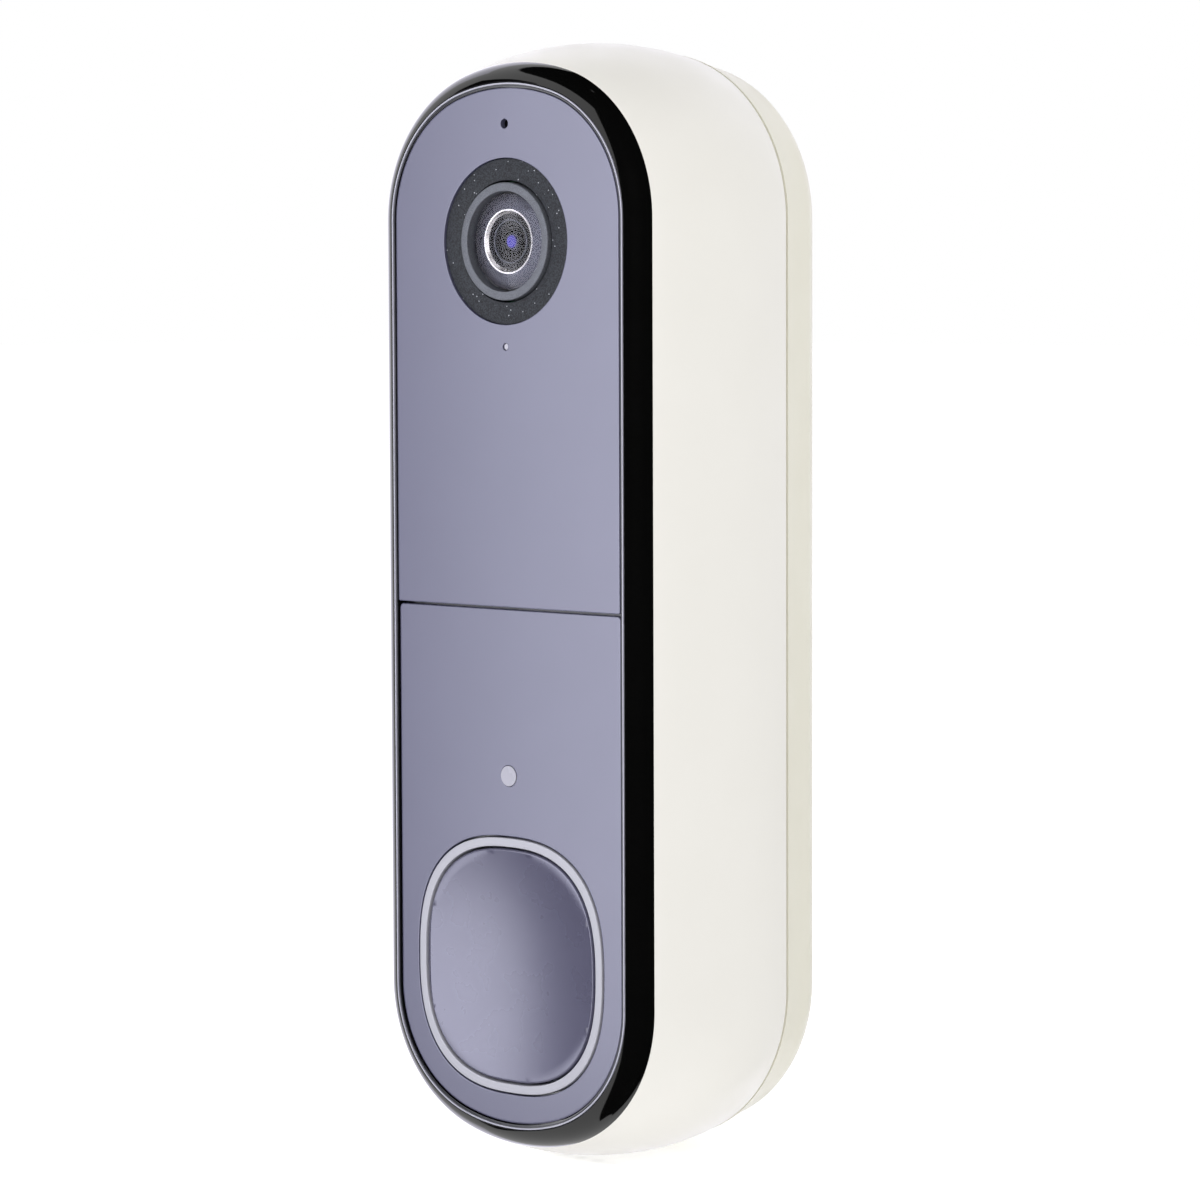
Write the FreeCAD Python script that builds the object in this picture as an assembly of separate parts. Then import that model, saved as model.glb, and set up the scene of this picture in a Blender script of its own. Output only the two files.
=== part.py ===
import FreeCAD
import Part
import math
import os

from FreeCAD import Vector

# A battery video doorbell on its wall plate, in millimetres.
# The origin is the centre of the wall plate's back, +Y runs into the wall, +Z up.
# "Depth" is measured from the front rim towards the wall, "grow" outwards from
# the front outline.

# Driving dimensions -------------------------------------------------------
WIDTH = 50.3
HEIGHT = 143.6
DEPTH = 35.4

# How far the side stands outside the front outline, at four depths
BAND_GROW = 2.7
BAND_DEPTH = 2.7
BELLY_GROW = 5.65
BELLY_DEPTH = 17.6
PARTING_GROW = 4.95
PLATE_DEPTH = 9.1
REAR_GROW = 3.9
REAR_ROUND = 4.1

# The outline's corner arcs blend into a flatter crown arc at each end
CORNER_INSET = 2.94
CROWN_DROP = 9.8

# Walls, gaps and clearances
SHELL_WALL = 2.0
PLATE_WALL = 1.8
PLATE_FLOOR = 2.4
PARTING_GAP = 0.3
FIT_GAP = 0.1
SLIDE_GAP = 0.3

# Front frame and panels
RIM_WIDTH = 0.45
PANEL_THICKNESS = 1.6
UPPER_RECESS = 0.15
LOWER_RECESS = 0.35
UPPER_GAP = 0.12
LOWER_GAP = 0.4
LOWER_CORNER_R = 0.6
SEAM_GAP = 0.3
SEAM_Z = 0.2
SKIRT_LENGTH = 2.5
SKIRT_WALL = 1.1

BAND_BULGE = (0.62, 0.36)
FLOOR_INSET = 3.0
INNER_FRONT_STEP = 0.6

# Places of the front features: distances from the ends of the front outline
LENS_FROM_TOP = 19.75
MIC_FROM_TOP = 5.05
BUTTON_FROM_BOTTOM = 20.8
LIGHT_BELOW_SURROUND = 2.8
MOTION_ABOVE_RING = 7.95

# Hole sizes in the front
MIC_R = 0.6
LIGHT_R = 0.45
MOTION_R = 1.3

# Camera
SURROUND_R = 10.4
LENS_RING_R = 7.4
LENS_RING_WALL = 1.1
LENS_RING_BEVEL = 0.15
LENS_RING_GAP = 0.12
LENS_RING_LENGTH = 6.0
SURROUND_RECESS = 0.45
SURROUND_SEAT = 0.6
FRONT_LENS_EDGE = 0.9
FRONT_LENS_SAG = 0.8
MASK_BORE = 3.5
MASK_THICKNESS = 0.8
MASK_BEVEL = 0.45
BARREL_LENGTH = 13.0
BARREL_WALL = 0.6
FIRST_LENS_R = 2.85
FIRST_LENS_SAG = 0.9
FIRST_LENS_EDGE = 1.7
FIRST_LENS_SINK = 2.9
BORE_STEP = 0.6
BORE_STEP_PITCH = 1.8
THROAT_R = 2.0
LAST_LENS_R = 3.35
LAST_LENS_THICKNESS = 1.8
REAR_BORE = 3.0
LENS_SEAT_GAP = 0.05
LED_SIZE = 1.3
HOLDER_WIDTH = 20.0
HOLDER_HEIGHT = 15.0
HOLDER_DEPTH = 6.4
FILTER_TRAVEL = 5.5
FILTER_SIZE = 4.8
FILTER_WINDOW = 2.05
FILTER_THICKNESS = 0.5
SHUTTLE_THICKNESS = 1.2
SENSOR_ROOM_HALF_W = 4.2
SENSOR_ROOM_HALF_H = 4.0
CAMERA_SCREW_INSET = 1.8
CAMERA_SCREW_HEAD_R = 1.3
CAMERA_SCREW_R = 0.65
FLEX_HALF_W = 4.0
FLEX_THICKNESS = 0.2
BOARD_THICKNESS = 1.0
CAN_HEIGHT = 1.8

# Call button
RING_HALF_W = 15.65
RING_HALF_H = 16.3
RING_FACE = 1.1
RING_GAP = 0.25
RING_RECESS = 0.25
BUTTON_GAP = 0.3
BUTTON_RECESS = 0.3
BUTTON_DISH = 1.0
BUTTON_WALL = 1.2
BUTTON_FLANGE = 1.0
FLANGE_THICKNESS = 0.8
BOSS_R = 2.2
PLUNGER_R = 1.6
SWITCH_HALF = 3.0
SWITCH_HEIGHT = 1.8
DOME_FOOT_R = 7.4
DOME_FOOT_BORE = 5.2
DOME_TOP_R = 3.6
DOME_LOW_R = 6.6
DOME_WALL = 0.7
BUTTON_BOARD_HALF = 12.0
LED_OFFSET = 9.5
LED_HALF = 1.0
BUTTON_TRAVEL = 0.7
SQUIRCLE_POWER = 2.55

# Battery pack and its bay
CELL_R = 9.15
CELL_LENGTH = 65.0
CELL_GAP = 0.1
CASE_WALL = 0.8
PACK_BOARD_SPACE = 3.2
BAY_WALL = 1.15
PACK_CORNER_R = 1.6
CONTACT_PITCH = 6.0
CONTACT_ABOVE_END = 8.0
CONTACT_LIFT = 0.2
SPRING_HALF_W = 1.1
USB_HALF_W = 4.6
USB_HALF_D = 1.7
USB_DEPTH = 3.0
USB_SHELL_HALF_W = 4.45
USB_SHELL_HALF_D = 1.6
USB_WALL = 0.35
LATCH_HALF_W = 2.6
LATCH_DROP = 4.8
BAY_CLEARANCE = 0.3

# Wall plate
WINDOW_CLEARANCE = 0.4
PLATE_RIM_INSET = 6.0
PLATE_FILLET = 0.9
SLOT_SPACING = 100.0
SLOT_WIDTH = 4.4
SLOT_LENGTH = 9.0
SCREW_HEAD_R = 4.2
PIN_HOLE_R = 1.1
LATCH_BEHIND_PARTING = 4.0
CATCH_ABOVE_END = 3.6
LEAF_HALF_W = 3.0
LEAF_THICKNESS = 0.5

# Hinge hooks at the top: arcs about the swing axis
HOOK_INNER_R = 6.6
HOOK_WALL = 1.4
HOOK_WIDTH = 4.0
HOOK_X = 4.0
HOOK_FRONT_DEG = 28.0
HOOK_BACK_DEG = 60.0
HOOK_CLEARANCE = 0.5
POCKET_WALL = 0.7

# Sync button and rear terminals
SYNC_X = 12.5
REAR_ROW_BELOW_BAY = 10.8
SYNC_R = 2.4
SYNC_TRAVEL = 0.5
TERMINAL_SPACING = 10.0
TERMINAL_X = -4.0
TERMINAL_HALF_H = 4.0
TERMINAL_HEAD_R = 2.6
TERMINAL_SHANK_R = 1.3
SYNC_SWITCH_SIZE = 5.0

# Case screws
CASE_SCREW_R = 0.85
CASE_HEAD_R = 1.7
POST_R = 2.3
POST_LENGTH = 6.0
WEB_HALF_W = 1.6
WEB_HALF_H = 1.0
CASE_HEAD_SINK = 0.7

# Speaker in the bottom end
SPEAKER_R = 8.0
SPEAKER_DEPTH = 13.8
SPEAKER_HEIGHT = 4.2
SPEAKER_SEAT_DROP = 1.8
SPEAKER_PORT_R = 0.8
SPEAKER_PORT_PITCH = 2.8
SPEAKER_RIM = 1.6
SPEAKER_SEAT_THICKNESS = 3.4
SPEAKER_GASKET = 0.5
MAGNET_R = 5.15
MAGNET_LENGTH = 3.2

# Worked out from the driving dimensions -----------------------------------
FACE_HALF_W = WIDTH / 2 - BELLY_GROW
FACE_HALF_H = HEIGHT / 2 - BELLY_GROW
CORNER_R = FACE_HALF_W - CORNER_INSET
CROWN_R = CORNER_R + math.hypot(CORNER_INSET, CROWN_DROP)
CORNER_Z = FACE_HALF_H - CROWN_R + CROWN_DROP

PARTING_DEPTH = DEPTH - PLATE_DEPTH
UNIT_REAR = PARTING_DEPTH - PARTING_GAP / 2
PLATE_FRONT = PARTING_DEPTH + PARTING_GAP / 2
PANEL_BACK = UPPER_RECESS + PANEL_THICKNESS
BEZEL_BACK = BAND_DEPTH
SKIRT_GROW = -RIM_WIDTH
FLANGE_BACK = BAND_DEPTH + 1.6

CHASSIS_GROW = PARTING_GROW - SHELL_WALL - FIT_GAP
CHASSIS_PLATE = 1.7
CHASSIS_FRONT = UNIT_REAR - CHASSIS_PLATE
SEAL_HEIGHT = 0.8
LEDGE_GROW = CHASSIS_GROW - 1.45
LEDGE_HEIGHT = 1.2

PACK_HALF_W = 2 * CELL_R + CELL_GAP / 2 + CASE_WALL + FIT_GAP
PACK_HALF_H = (CELL_LENGTH + PACK_BOARD_SPACE) / 2 + CASE_WALL
PACK_THICKNESS = 2 * CELL_R + 2 * CASE_WALL + FIT_GAP
BAY_HALF_W = PACK_HALF_W + BAY_CLEARANCE
BAY_HALF_H = PACK_HALF_H + BAY_CLEARANCE
PACK_REAR = DEPTH - PLATE_FLOOR - 1.0
PACK_FRONT = PACK_REAR - PACK_THICKNESS
BAY_FLOOR = PACK_FRONT - 0.6
CORNER_BLEND = 2.0

LENS_Z = FACE_HALF_H - LENS_FROM_TOP
MIC_Z = FACE_HALF_H - MIC_FROM_TOP
BUTTON_Z = -FACE_HALF_H + BUTTON_FROM_BOTTOM
LIGHT_Z = LENS_Z - SURROUND_R - LIGHT_BELOW_SURROUND
MOTION_Z = BUTTON_Z + RING_HALF_H + MOTION_ABOVE_RING
LENS_RING_BORE = LENS_RING_R - LENS_RING_WALL
REAR_ROW_Z = -BAY_HALF_H - BAY_WALL - REAR_ROW_BELOW_BAY

AXIS_Z = FACE_HALF_H + PARTING_GROW
HOOK_OUTER_R = HOOK_INNER_R + HOOK_WALL
BOARD_FRONT = BEZEL_BACK + SKIRT_LENGTH + 0.3
MAIN_BOARD_HALF_W = FACE_HALF_W - 0.6
BOARD_TOP = LENS_Z - SURROUND_R - 1.3
BOARD_BOTTOM = BUTTON_Z + RING_HALF_H + 2.4


def place(depth):
    """Y of a depth behind the front rim."""
    return depth - DEPTH


def side_arc():
    """The shell's side as an arc in (grow, depth)."""
    start = Vector(BAND_GROW, BAND_DEPTH, 0)
    return Part.Arc(start, Vector(BELLY_GROW, BELLY_DEPTH, 0), Vector(PARTING_GROW, UNIT_REAR, 0))


def side_grow(depth):
    """How far the shell's side stands out at a depth."""
    circle = side_arc().toShape().Curve
    return circle.Center.x + math.sqrt(circle.Radius ** 2 - (depth - circle.Center.y) ** 2)


# Building blocks -----------------------------------------------------------
def outline(grow, depth):
    """The body's outline grown outwards, as a wire that starts at the right side."""
    y = place(depth)
    half_w = FACE_HALF_W + grow
    corner = CORNER_R + grow
    crown = CROWN_R + grow
    lean = math.atan2(CORNER_INSET, CROWN_DROP)
    join = Vector(crown * math.sin(lean), y, CORNER_Z - CROWN_DROP + crown * math.cos(lean))
    top = Vector(0, y, CORNER_Z - CROWN_DROP + crown)
    turn = (math.pi / 2 + lean) / 2
    bend = Vector(CORNER_INSET + corner * math.sin(turn), y, CORNER_Z + corner * math.cos(turn))
    side = Vector(half_w, y, CORNER_Z)

    def mirror(point, sign_x, sign_z):
        return Vector(sign_x * point.x, y, sign_z * point.z)

    edges = [Part.LineSegment(Vector(half_w, y, 0), side).toShape()]
    edges.append(Part.Arc(side, bend, join).toShape())
    edges.append(Part.Arc(join, top, mirror(join, -1, 1)).toShape())
    edges.append(Part.Arc(mirror(join, -1, 1), mirror(bend, -1, 1), mirror(side, -1, 1)).toShape())
    edges.append(Part.LineSegment(mirror(side, -1, 1), mirror(side, -1, -1)).toShape())
    edges.append(Part.Arc(mirror(side, -1, -1), mirror(bend, -1, -1), mirror(join, -1, -1)).toShape())
    edges.append(Part.Arc(mirror(join, -1, -1), mirror(top, 1, -1), mirror(join, 1, -1)).toShape())
    edges.append(Part.Arc(mirror(join, 1, -1), mirror(bend, 1, -1), mirror(side, 1, -1)).toShape())
    edges.append(Part.LineSegment(mirror(side, 1, -1), Vector(half_w, y, 0)).toShape())
    return Part.Wire(edges)


def slab(grow, front, back):
    """A flat plate of the body's outline."""
    return Part.Face(outline(grow, front)).extrude(Vector(0, back - front, 0))


def swept(start, *steps):
    """A ring whose section, in (grow, depth), is swept round the outline.

    A step is a corner for a straight edge, or a (through, end) pair for an arc.
    """
    def at(point):
        return Vector(FACE_HALF_W + point[0], place(point[1]), 0)

    edges = []
    here = start
    for step in steps + (start,):
        if isinstance(step[0], tuple):
            edges.append(Part.Arc(at(here), at(step[0]), at(step[1])).toShape())
            here = step[1]
        else:
            edges.append(Part.LineSegment(at(here), at(step)).toShape())
            here = step
    pipe = Part.BRepOffsetAPI.MakePipeShell(outline(0, 0))
    pipe.setBiNormalMode(Vector(0, 1, 0))
    pipe.add(Part.Wire(edges), False, False)
    pipe.build()
    pipe.makeSolid()
    return pipe.shape()


def rod(radius, front, back, x=0.0, z=0.0):
    """A round bar along the depth."""
    start = Vector(x, place(front), z)
    return Part.makeCylinder(radius, back - front, start, Vector(0, 1, 0))


def tube(outer, inner, front, back, x=0.0, z=0.0):
    """A round tube along the depth."""
    return rod(outer, front, back, x, z).cut(rod(inner, front, back, x, z))


def column(radius, low, high, x, depth):
    """A round bar along the height."""
    return Part.makeCylinder(radius, high - low, Vector(x, place(depth), low), Vector(0, 0, 1))


def block(half_w, front, back, low, high, x=0.0):
    """A box centred on x."""
    corner = Vector(x - half_w, place(front), low)
    return Part.makeBox(2 * half_w, back - front, high - low, corner)


def soft_block(half_w, front, back, low, high, blend):
    """A box whose four edges along the depth are rounded."""
    solid = block(half_w, front, back, low, high)
    along = [edge for edge in solid.Edges if abs(edge.tangentAt(edge.FirstParameter).y) > 0.9]
    return solid.makeFillet(blend, along)


def squircle(half_w, half_h, front, back):
    """A plate of the call button's rounded-square outline."""
    points = []
    count = 32
    for step in range(count):
        angle = 2 * math.pi * (step + 0.5) / count
        across = math.copysign(abs(math.cos(angle)) ** (2 / SQUIRCLE_POWER), math.cos(angle))
        up = math.copysign(abs(math.sin(angle)) ** (2 / SQUIRCLE_POWER), math.sin(angle))
        points.append(Vector(half_w * across, place(front), BUTTON_Z + half_h * up))
    curve = Part.BSplineCurve()
    curve.interpolate(Points=points, PeriodicFlag=True)
    face = Part.Face(Part.Wire([curve.toShape()]))
    return face.extrude(Vector(0, back - front, 0))


def cap(radius, edge, sag):
    """A lens-shaped solid on the camera's axis: a dome of this sag on a flat back."""
    ball_r = (radius ** 2 + sag ** 2) / (2 * sag)
    ball = Part.makeSphere(ball_r, Vector(0, place(edge - sag + ball_r), LENS_Z))
    return ball.common(rod(radius, edge - sag - 1, edge, 0, LENS_Z))


def fused(solids):
    """One solid from touching pieces."""
    return solids[0].multiFuse(solids[1:]).removeSplitter()


def group(solids):
    """Several separate solids in one node."""
    return Part.makeCompound(solids)


# Shells --------------------------------------------------------------------
def post_places():
    """The four case screws' places."""
    x = FACE_HALF_W - 0.1
    z = BAY_HALF_H + BAY_WALL + 3.4
    return [(side * x, end * z) for side in (-1, 1) for end in (-1, 1)]


def make_housing():
    ledge_back = CHASSIS_FRONT - SEAL_HEIGHT
    ledge_front = ledge_back - LEDGE_HEIGHT
    inner_belly = BELLY_GROW - SHELL_WALL
    inner_parting = PARTING_GROW - SHELL_WALL
    shell = swept(
        (BAND_GROW, BAND_DEPTH),
        ((BELLY_GROW, BELLY_DEPTH), (PARTING_GROW, UNIT_REAR)),
        (inner_parting, UNIT_REAR),
        (inner_parting, ledge_back),
        (LEDGE_GROW, ledge_back),
        (LEDGE_GROW, ledge_front),
        (inner_parting, ledge_front),
        ((inner_belly, BELLY_DEPTH), (BAND_GROW - SHELL_WALL + INNER_FRONT_STEP, FLANGE_BACK)),
        (SKIRT_GROW + FIT_GAP, FLANGE_BACK),
        (SKIRT_GROW + FIT_GAP, BAND_DEPTH),
    )
    pieces = [shell]
    holes = []
    for x, z in post_places():
        post_front = ledge_front - POST_LENGTH
        pieces.append(rod(POST_R, post_front, CHASSIS_FRONT, x, z))
        web_x = math.copysign(FACE_HALF_W + inner_parting + SHELL_WALL / 2 - WEB_HALF_W, x)
        pieces.append(block(WEB_HALF_W, post_front, ledge_back, z - WEB_HALF_H, z + WEB_HALF_H, web_x))
        holes.append(rod(CASE_SCREW_R - 0.1, post_front + 2, CHASSIS_FRONT, x, z))
    pieces.append(speaker_seat())
    body = fused(pieces)
    body = body.cut(chassis_body_room())
    return body.cut(group(holes + speaker_ports()))


def chassis_body_room():
    """Space that the battery bay and the hook pockets take up inside the ledge."""
    half_w = BAY_HALF_W + BAY_WALL + FIT_GAP
    half_h = BAY_HALF_H + BAY_WALL + FIT_GAP
    bay = block(half_w, BAY_FLOOR - 2, DEPTH, -half_h, half_h)
    return group([bay] + hook_room(POCKET_WALL + FIT_GAP))


def speaker_floor():
    """Height of the flat seat that the speaker's gasket rests on."""
    inner_grow = side_grow(SPEAKER_DEPTH - SPEAKER_R) - SHELL_WALL
    return -(FACE_HALF_H + inner_grow - SPEAKER_SEAT_DROP)


def speaker_seat():
    floor = speaker_floor()
    depth = SPEAKER_DEPTH
    front = depth - SPEAKER_R - 0.4
    low = floor - SPEAKER_SEAT_THICKNESS
    seat = column(SPEAKER_R + 0.4, low, floor, 0, depth)
    bore = column(SPEAKER_R - SPEAKER_RIM, low, floor, 0, depth)
    inside = slab(side_grow(front) - SHELL_WALL / 2, front - 1, depth + SPEAKER_R + 1)
    return seat.cut(bore).common(inside)


def speaker_ports():
    """A short row of sound holes through the bottom of the housing."""
    floor = speaker_floor()
    ports = []
    for step in range(-2, 3):
        x = step * SPEAKER_PORT_PITCH
        ports.append(column(SPEAKER_PORT_R, floor - 9, floor - 1, x, SPEAKER_DEPTH))
    return ports


def make_front_bezel():
    ring = swept(
        (-RIM_WIDTH, 0.0),
        (0.0, 0.0),
        ((BAND_GROW * BAND_BULGE[0], BAND_DEPTH * BAND_BULGE[1]), (BAND_GROW, BAND_DEPTH)),
        (SKIRT_GROW, BEZEL_BACK),
        (SKIRT_GROW, BEZEL_BACK + SKIRT_LENGTH),
        (SKIRT_GROW - SKIRT_WALL, BEZEL_BACK + SKIRT_LENGTH),
        (SKIRT_GROW - SKIRT_WALL, BEZEL_BACK),
        (-FLOOR_INSET, BEZEL_BACK),
        (-FLOOR_INSET, PANEL_BACK),
        (-RIM_WIDTH, PANEL_BACK),
    )
    bezel = fused([ring, slab(FIT_GAP - FLOOR_INSET, PANEL_BACK, BEZEL_BACK)])
    cuts = [rod(SURROUND_R - SURROUND_SEAT, 0, DEPTH, 0, LENS_Z)]
    cuts.append(rod(MIC_R + 0.2, 0, BEZEL_BACK + 1, 0, MIC_Z))
    cuts.append(rod(LIGHT_R + 0.4, 0, BEZEL_BACK + 1, 0, LIGHT_Z))
    cuts.append(rod(MOTION_R + 1.0, 0, BEZEL_BACK + 1, 0, MOTION_Z))
    cuts.append(squircle(RING_HALF_W + FIT_GAP, RING_HALF_H + FIT_GAP, 0, BEZEL_BACK + 1))
    for x, z in board_screw_places():
        stud = tube(1.5, 0.6, BEZEL_BACK - 0.2, BOARD_FRONT, x, z)
        bezel = bezel.fuse(stud)
    return bezel.cut(group(cuts))


def make_upper_panel():
    grow = -RIM_WIDTH - UPPER_GAP
    panel = slab(grow, UPPER_RECESS, PANEL_BACK)
    panel = panel.common(block(WIDTH, 0, DEPTH, SEAM_Z + SEAM_GAP / 2, HEIGHT))
    panel = panel.cut(rod(SURROUND_R + 0.05, 0, DEPTH, 0, LENS_Z))
    panel = panel.cut(rod(MIC_R, 0, DEPTH, 0, MIC_Z))
    return panel.cut(rod(LIGHT_R, 0, DEPTH, 0, LIGHT_Z))


def make_lower_panel():
    grow = -RIM_WIDTH - LOWER_GAP
    panel = slab(grow, LOWER_RECESS, PANEL_BACK)
    half_w = FACE_HALF_W + grow
    keep = soft_block(half_w, 0, DEPTH, -HEIGHT, SEAM_Z - SEAM_GAP / 2, LOWER_CORNER_R)
    panel = panel.common(keep)
    panel = panel.cut(squircle(RING_HALF_W + RING_GAP, RING_HALF_H + RING_GAP, 0, DEPTH))
    return panel.cut(rod(MOTION_R + FIT_GAP / 2, 0, DEPTH, 0, MOTION_Z))


def make_rear_chassis():
    plate = slab(CHASSIS_GROW, CHASSIS_FRONT, UNIT_REAR)
    half_w = BAY_HALF_W + BAY_WALL
    half_h = BAY_HALF_H + BAY_WALL
    bay = soft_block(half_w, BAY_FLOOR - BAY_WALL, PACK_REAR, -half_h, half_h, CORNER_BLEND)
    catch = block(4.0, UNIT_REAR - 0.5, latch_depth() - 0.3, catch_low(), catch_low() + 2.4)
    inside = block(WIDTH, 0, UNIT_REAR, -HEIGHT, HEIGHT)
    pockets = [pocket.common(inside) for pocket in hook_room(POCKET_WALL)]
    body = fused([plate, bay, catch] + pockets)
    blend = CORNER_BLEND - BAY_WALL / 2
    body = body.cut(soft_block(BAY_HALF_W, BAY_FLOOR, DEPTH, -BAY_HALF_H, BAY_HALF_H, blend))
    cuts = hook_room(0) + [rod(SYNC_R + SLIDE_GAP, 0, DEPTH, SYNC_X, REAR_ROW_Z)]
    low, high = REAR_ROW_Z - TERMINAL_HALF_H, REAR_ROW_Z + TERMINAL_HALF_H
    cuts.append(block(TERMINAL_SPACING, 0, DEPTH, low, high, TERMINAL_X))
    cuts += [rod(CASE_SCREW_R + 0.15, 0, DEPTH, x, z) for x, z in post_places()]
    head_seat = UNIT_REAR - CASE_HEAD_SINK
    cuts += [rod(CASE_HEAD_R + 0.2, head_seat, DEPTH, x, z) for x, z in post_places()]
    latch_front = PACK_REAR - LATCH_DROP - 0.4
    cuts.append(block(LATCH_HALF_W + 0.7, latch_front, DEPTH, BAY_HALF_H - 0.1, half_h + 0.1))
    for x in contact_places():
        cuts.append(block(1.3, 0, BAY_FLOOR + 0.1, contact_z() - 3.3, contact_z() + 3.3, x))
    return body.cut(group(cuts))


def make_chassis_seal():
    front = CHASSIS_FRONT - SEAL_HEIGHT
    seal = swept(
        (LEDGE_GROW + 0.2, front),
        (CHASSIS_GROW - 0.15, front),
        (CHASSIS_GROW - 0.15, CHASSIS_FRONT),
        (LEDGE_GROW + 0.2, CHASSIS_FRONT),
    )
    posts = [rod(POST_R + FIT_GAP, 0, DEPTH, x, z) for x, z in post_places()]
    return seal.cut(group(posts)).cut(chassis_body_room())


def make_chassis_screws():
    screws = []
    for x, z in post_places():
        head = rod(CASE_HEAD_R, UNIT_REAR - CASE_HEAD_SINK, UNIT_REAR + 0.5, x, z)
        shank = rod(CASE_SCREW_R - 0.1, CHASSIS_FRONT - 4.5, UNIT_REAR, x, z)
        drive = rod(0.6, UNIT_REAR - 0.1, DEPTH, x, z)
        screws.append(head.fuse(shank).cut(drive))
    return group(screws)


# Wall plate ----------------------------------------------------------------
def arc_hook(x, from_deg, to_deg):
    """A curved hook about the swing axis; angles run from straight down to the front."""
    axis = Vector(x - HOOK_WIDTH / 2, place(PARTING_DEPTH), AXIS_Z)
    ring = Part.makeCylinder(HOOK_OUTER_R, HOOK_WIDTH, axis, Vector(1, 0, 0))
    ring = ring.cut(Part.makeCylinder(HOOK_INNER_R, HOOK_WIDTH, axis, Vector(1, 0, 0)))
    reach = 3 * HOOK_OUTER_R
    corners = [axis]
    steps = 3
    for step in range(steps + 1):
        angle = math.radians(from_deg + (to_deg - from_deg) * step / steps)
        corners.append(corners[0] + Vector(0, -reach * math.sin(angle), -reach * math.cos(angle)))
    wedge = Part.Face(Part.makePolygon(corners + [corners[0]])).extrude(Vector(HOOK_WIDTH, 0, 0))
    return ring.common(wedge)


def hook_room(margin):
    """The pocket that each hook swings in, with this much added all round."""
    tip = math.radians(HOOK_FRONT_DEG)
    low = AXIS_Z - HOOK_OUTER_R - HOOK_CLEARANCE - margin
    high = AXIS_Z - HOOK_INNER_R * math.cos(tip) + HOOK_CLEARANCE + margin
    front = PARTING_DEPTH - HOOK_OUTER_R * math.sin(tip) - HOOK_CLEARANCE - margin
    half_w = HOOK_WIDTH / 2 + HOOK_CLEARANCE + margin
    return [block(half_w, front, UNIT_REAR + margin, low, high, x) for x in (-HOOK_X, HOOK_X)]


def latch_depth():
    """Depth of the latch nose's front face."""
    return PARTING_DEPTH + LATCH_BEHIND_PARTING


def catch_low():
    """Lower face of the chassis catch that the latch holds."""
    return -(FACE_HALF_H - CATCH_ABOVE_END)


def slot(z, front, back):
    """One wall-screw slot, its length up and down."""
    half = SLOT_LENGTH / 2 - SLOT_WIDTH / 2
    ends = [rod(SLOT_WIDTH / 2, front, back, 0, z + side * half) for side in (-1, 1)]
    middle = block(SLOT_WIDTH / 2, front, back, z - half, z + half)
    return fused([middle] + ends)


def make_wall_plate():
    floor_front = DEPTH - PLATE_FLOOR
    round_depth = DEPTH - REAR_ROUND
    turn = REAR_ROUND * math.sqrt(0.5)
    centre = REAR_GROW - REAR_ROUND
    ring = swept(
        (PARTING_GROW, PLATE_FRONT),
        (REAR_GROW, round_depth),
        ((centre + turn, round_depth + turn), (centre, DEPTH)),
        (-PLATE_RIM_INSET, DEPTH),
        (-PLATE_RIM_INSET, floor_front),
        (REAR_GROW - PLATE_WALL - PLATE_FILLET, floor_front),
        (REAR_GROW - PLATE_WALL, floor_front - PLATE_FILLET),
        (PARTING_GROW - PLATE_WALL, PLATE_FRONT),
    )
    pieces = [ring, slab(FIT_GAP - PLATE_RIM_INSET, floor_front, DEPTH)]
    for x in (-HOOK_X, HOOK_X):
        pieces.append(arc_hook(x, -HOOK_BACK_DEG, HOOK_FRONT_DEG))
        root_low = AXIS_Z - HOOK_OUTER_R
        root_high = AXIS_Z - HOOK_INNER_R
        root = block(HOOK_WIDTH / 2, PLATE_FRONT, floor_front + 0.5, root_low, root_high, x)
        pieces.append(root)
    for end in (-1, 1):
        pieces.append(soft_boss(end * SLOT_SPACING / 2))
    plate = fused(pieces)
    half_w = BAY_HALF_W - BAY_CLEARANCE + WINDOW_CLEARANCE
    half_h = BAY_HALF_H - BAY_CLEARANCE + WINDOW_CLEARANCE
    cuts = [soft_block(half_w, floor_front - 2, DEPTH + 1, -half_h, half_h, 1.5)]
    for end in (-1, 1):
        cuts.append(slot(end * SLOT_SPACING / 2, floor_front - 2, DEPTH + 1))
    cuts.append(column(PIN_HOLE_R, -HEIGHT / 2 - 1, catch_low() - 2.6, 0, latch_depth() + 1.2))
    return plate.cut(group(cuts))


def soft_boss(z):
    """A raised pad round a wall-screw slot."""
    half = SLOT_LENGTH / 2 - SLOT_WIDTH / 2 + SCREW_HEAD_R
    front = DEPTH - PLATE_FLOOR - 0.6
    return soft_block(SCREW_HEAD_R, front, DEPTH - 1, z - half, z + half, CORNER_BLEND)


def make_latch_clip():
    """A spring-steel leaf: a foot on the plate's floor, a leaf forwards and a hooked nose."""
    floor = DEPTH - PLATE_FLOOR
    leaf_top = catch_low() - 1.5
    front = latch_depth() - 1.2
    root = leaf_top - 0.1
    leaf = block(LEAF_HALF_W, front, floor, leaf_top - LEAF_THICKNESS, leaf_top)
    foot = block(LEAF_HALF_W, floor - LEAF_THICKNESS, floor, root, leaf_top + 6.2)
    nose = block(LEAF_HALF_W, front, front + LEAF_THICKNESS, root, catch_low() - 0.25)
    lip_back = latch_depth() + LEAF_THICKNESS
    lip = block(LEAF_HALF_W, latch_depth(), lip_back, root, catch_low() + 0.9)
    clip = fused([leaf, foot, nose, lip])
    return clip.cut(rod(1.1, 0, DEPTH, 0, leaf_top + 3.6))


def make_latch_screw():
    floor = DEPTH - PLATE_FLOOR
    z = catch_low() + 2.1
    head = rod(1.9, floor - 1.5, floor - 0.5, 0, z)
    shank = rod(1.0, floor - 0.6, floor, 0, z)
    return head.fuse(shank).cut(rod(0.7, 0, floor - 1.0, 0, z))


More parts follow.
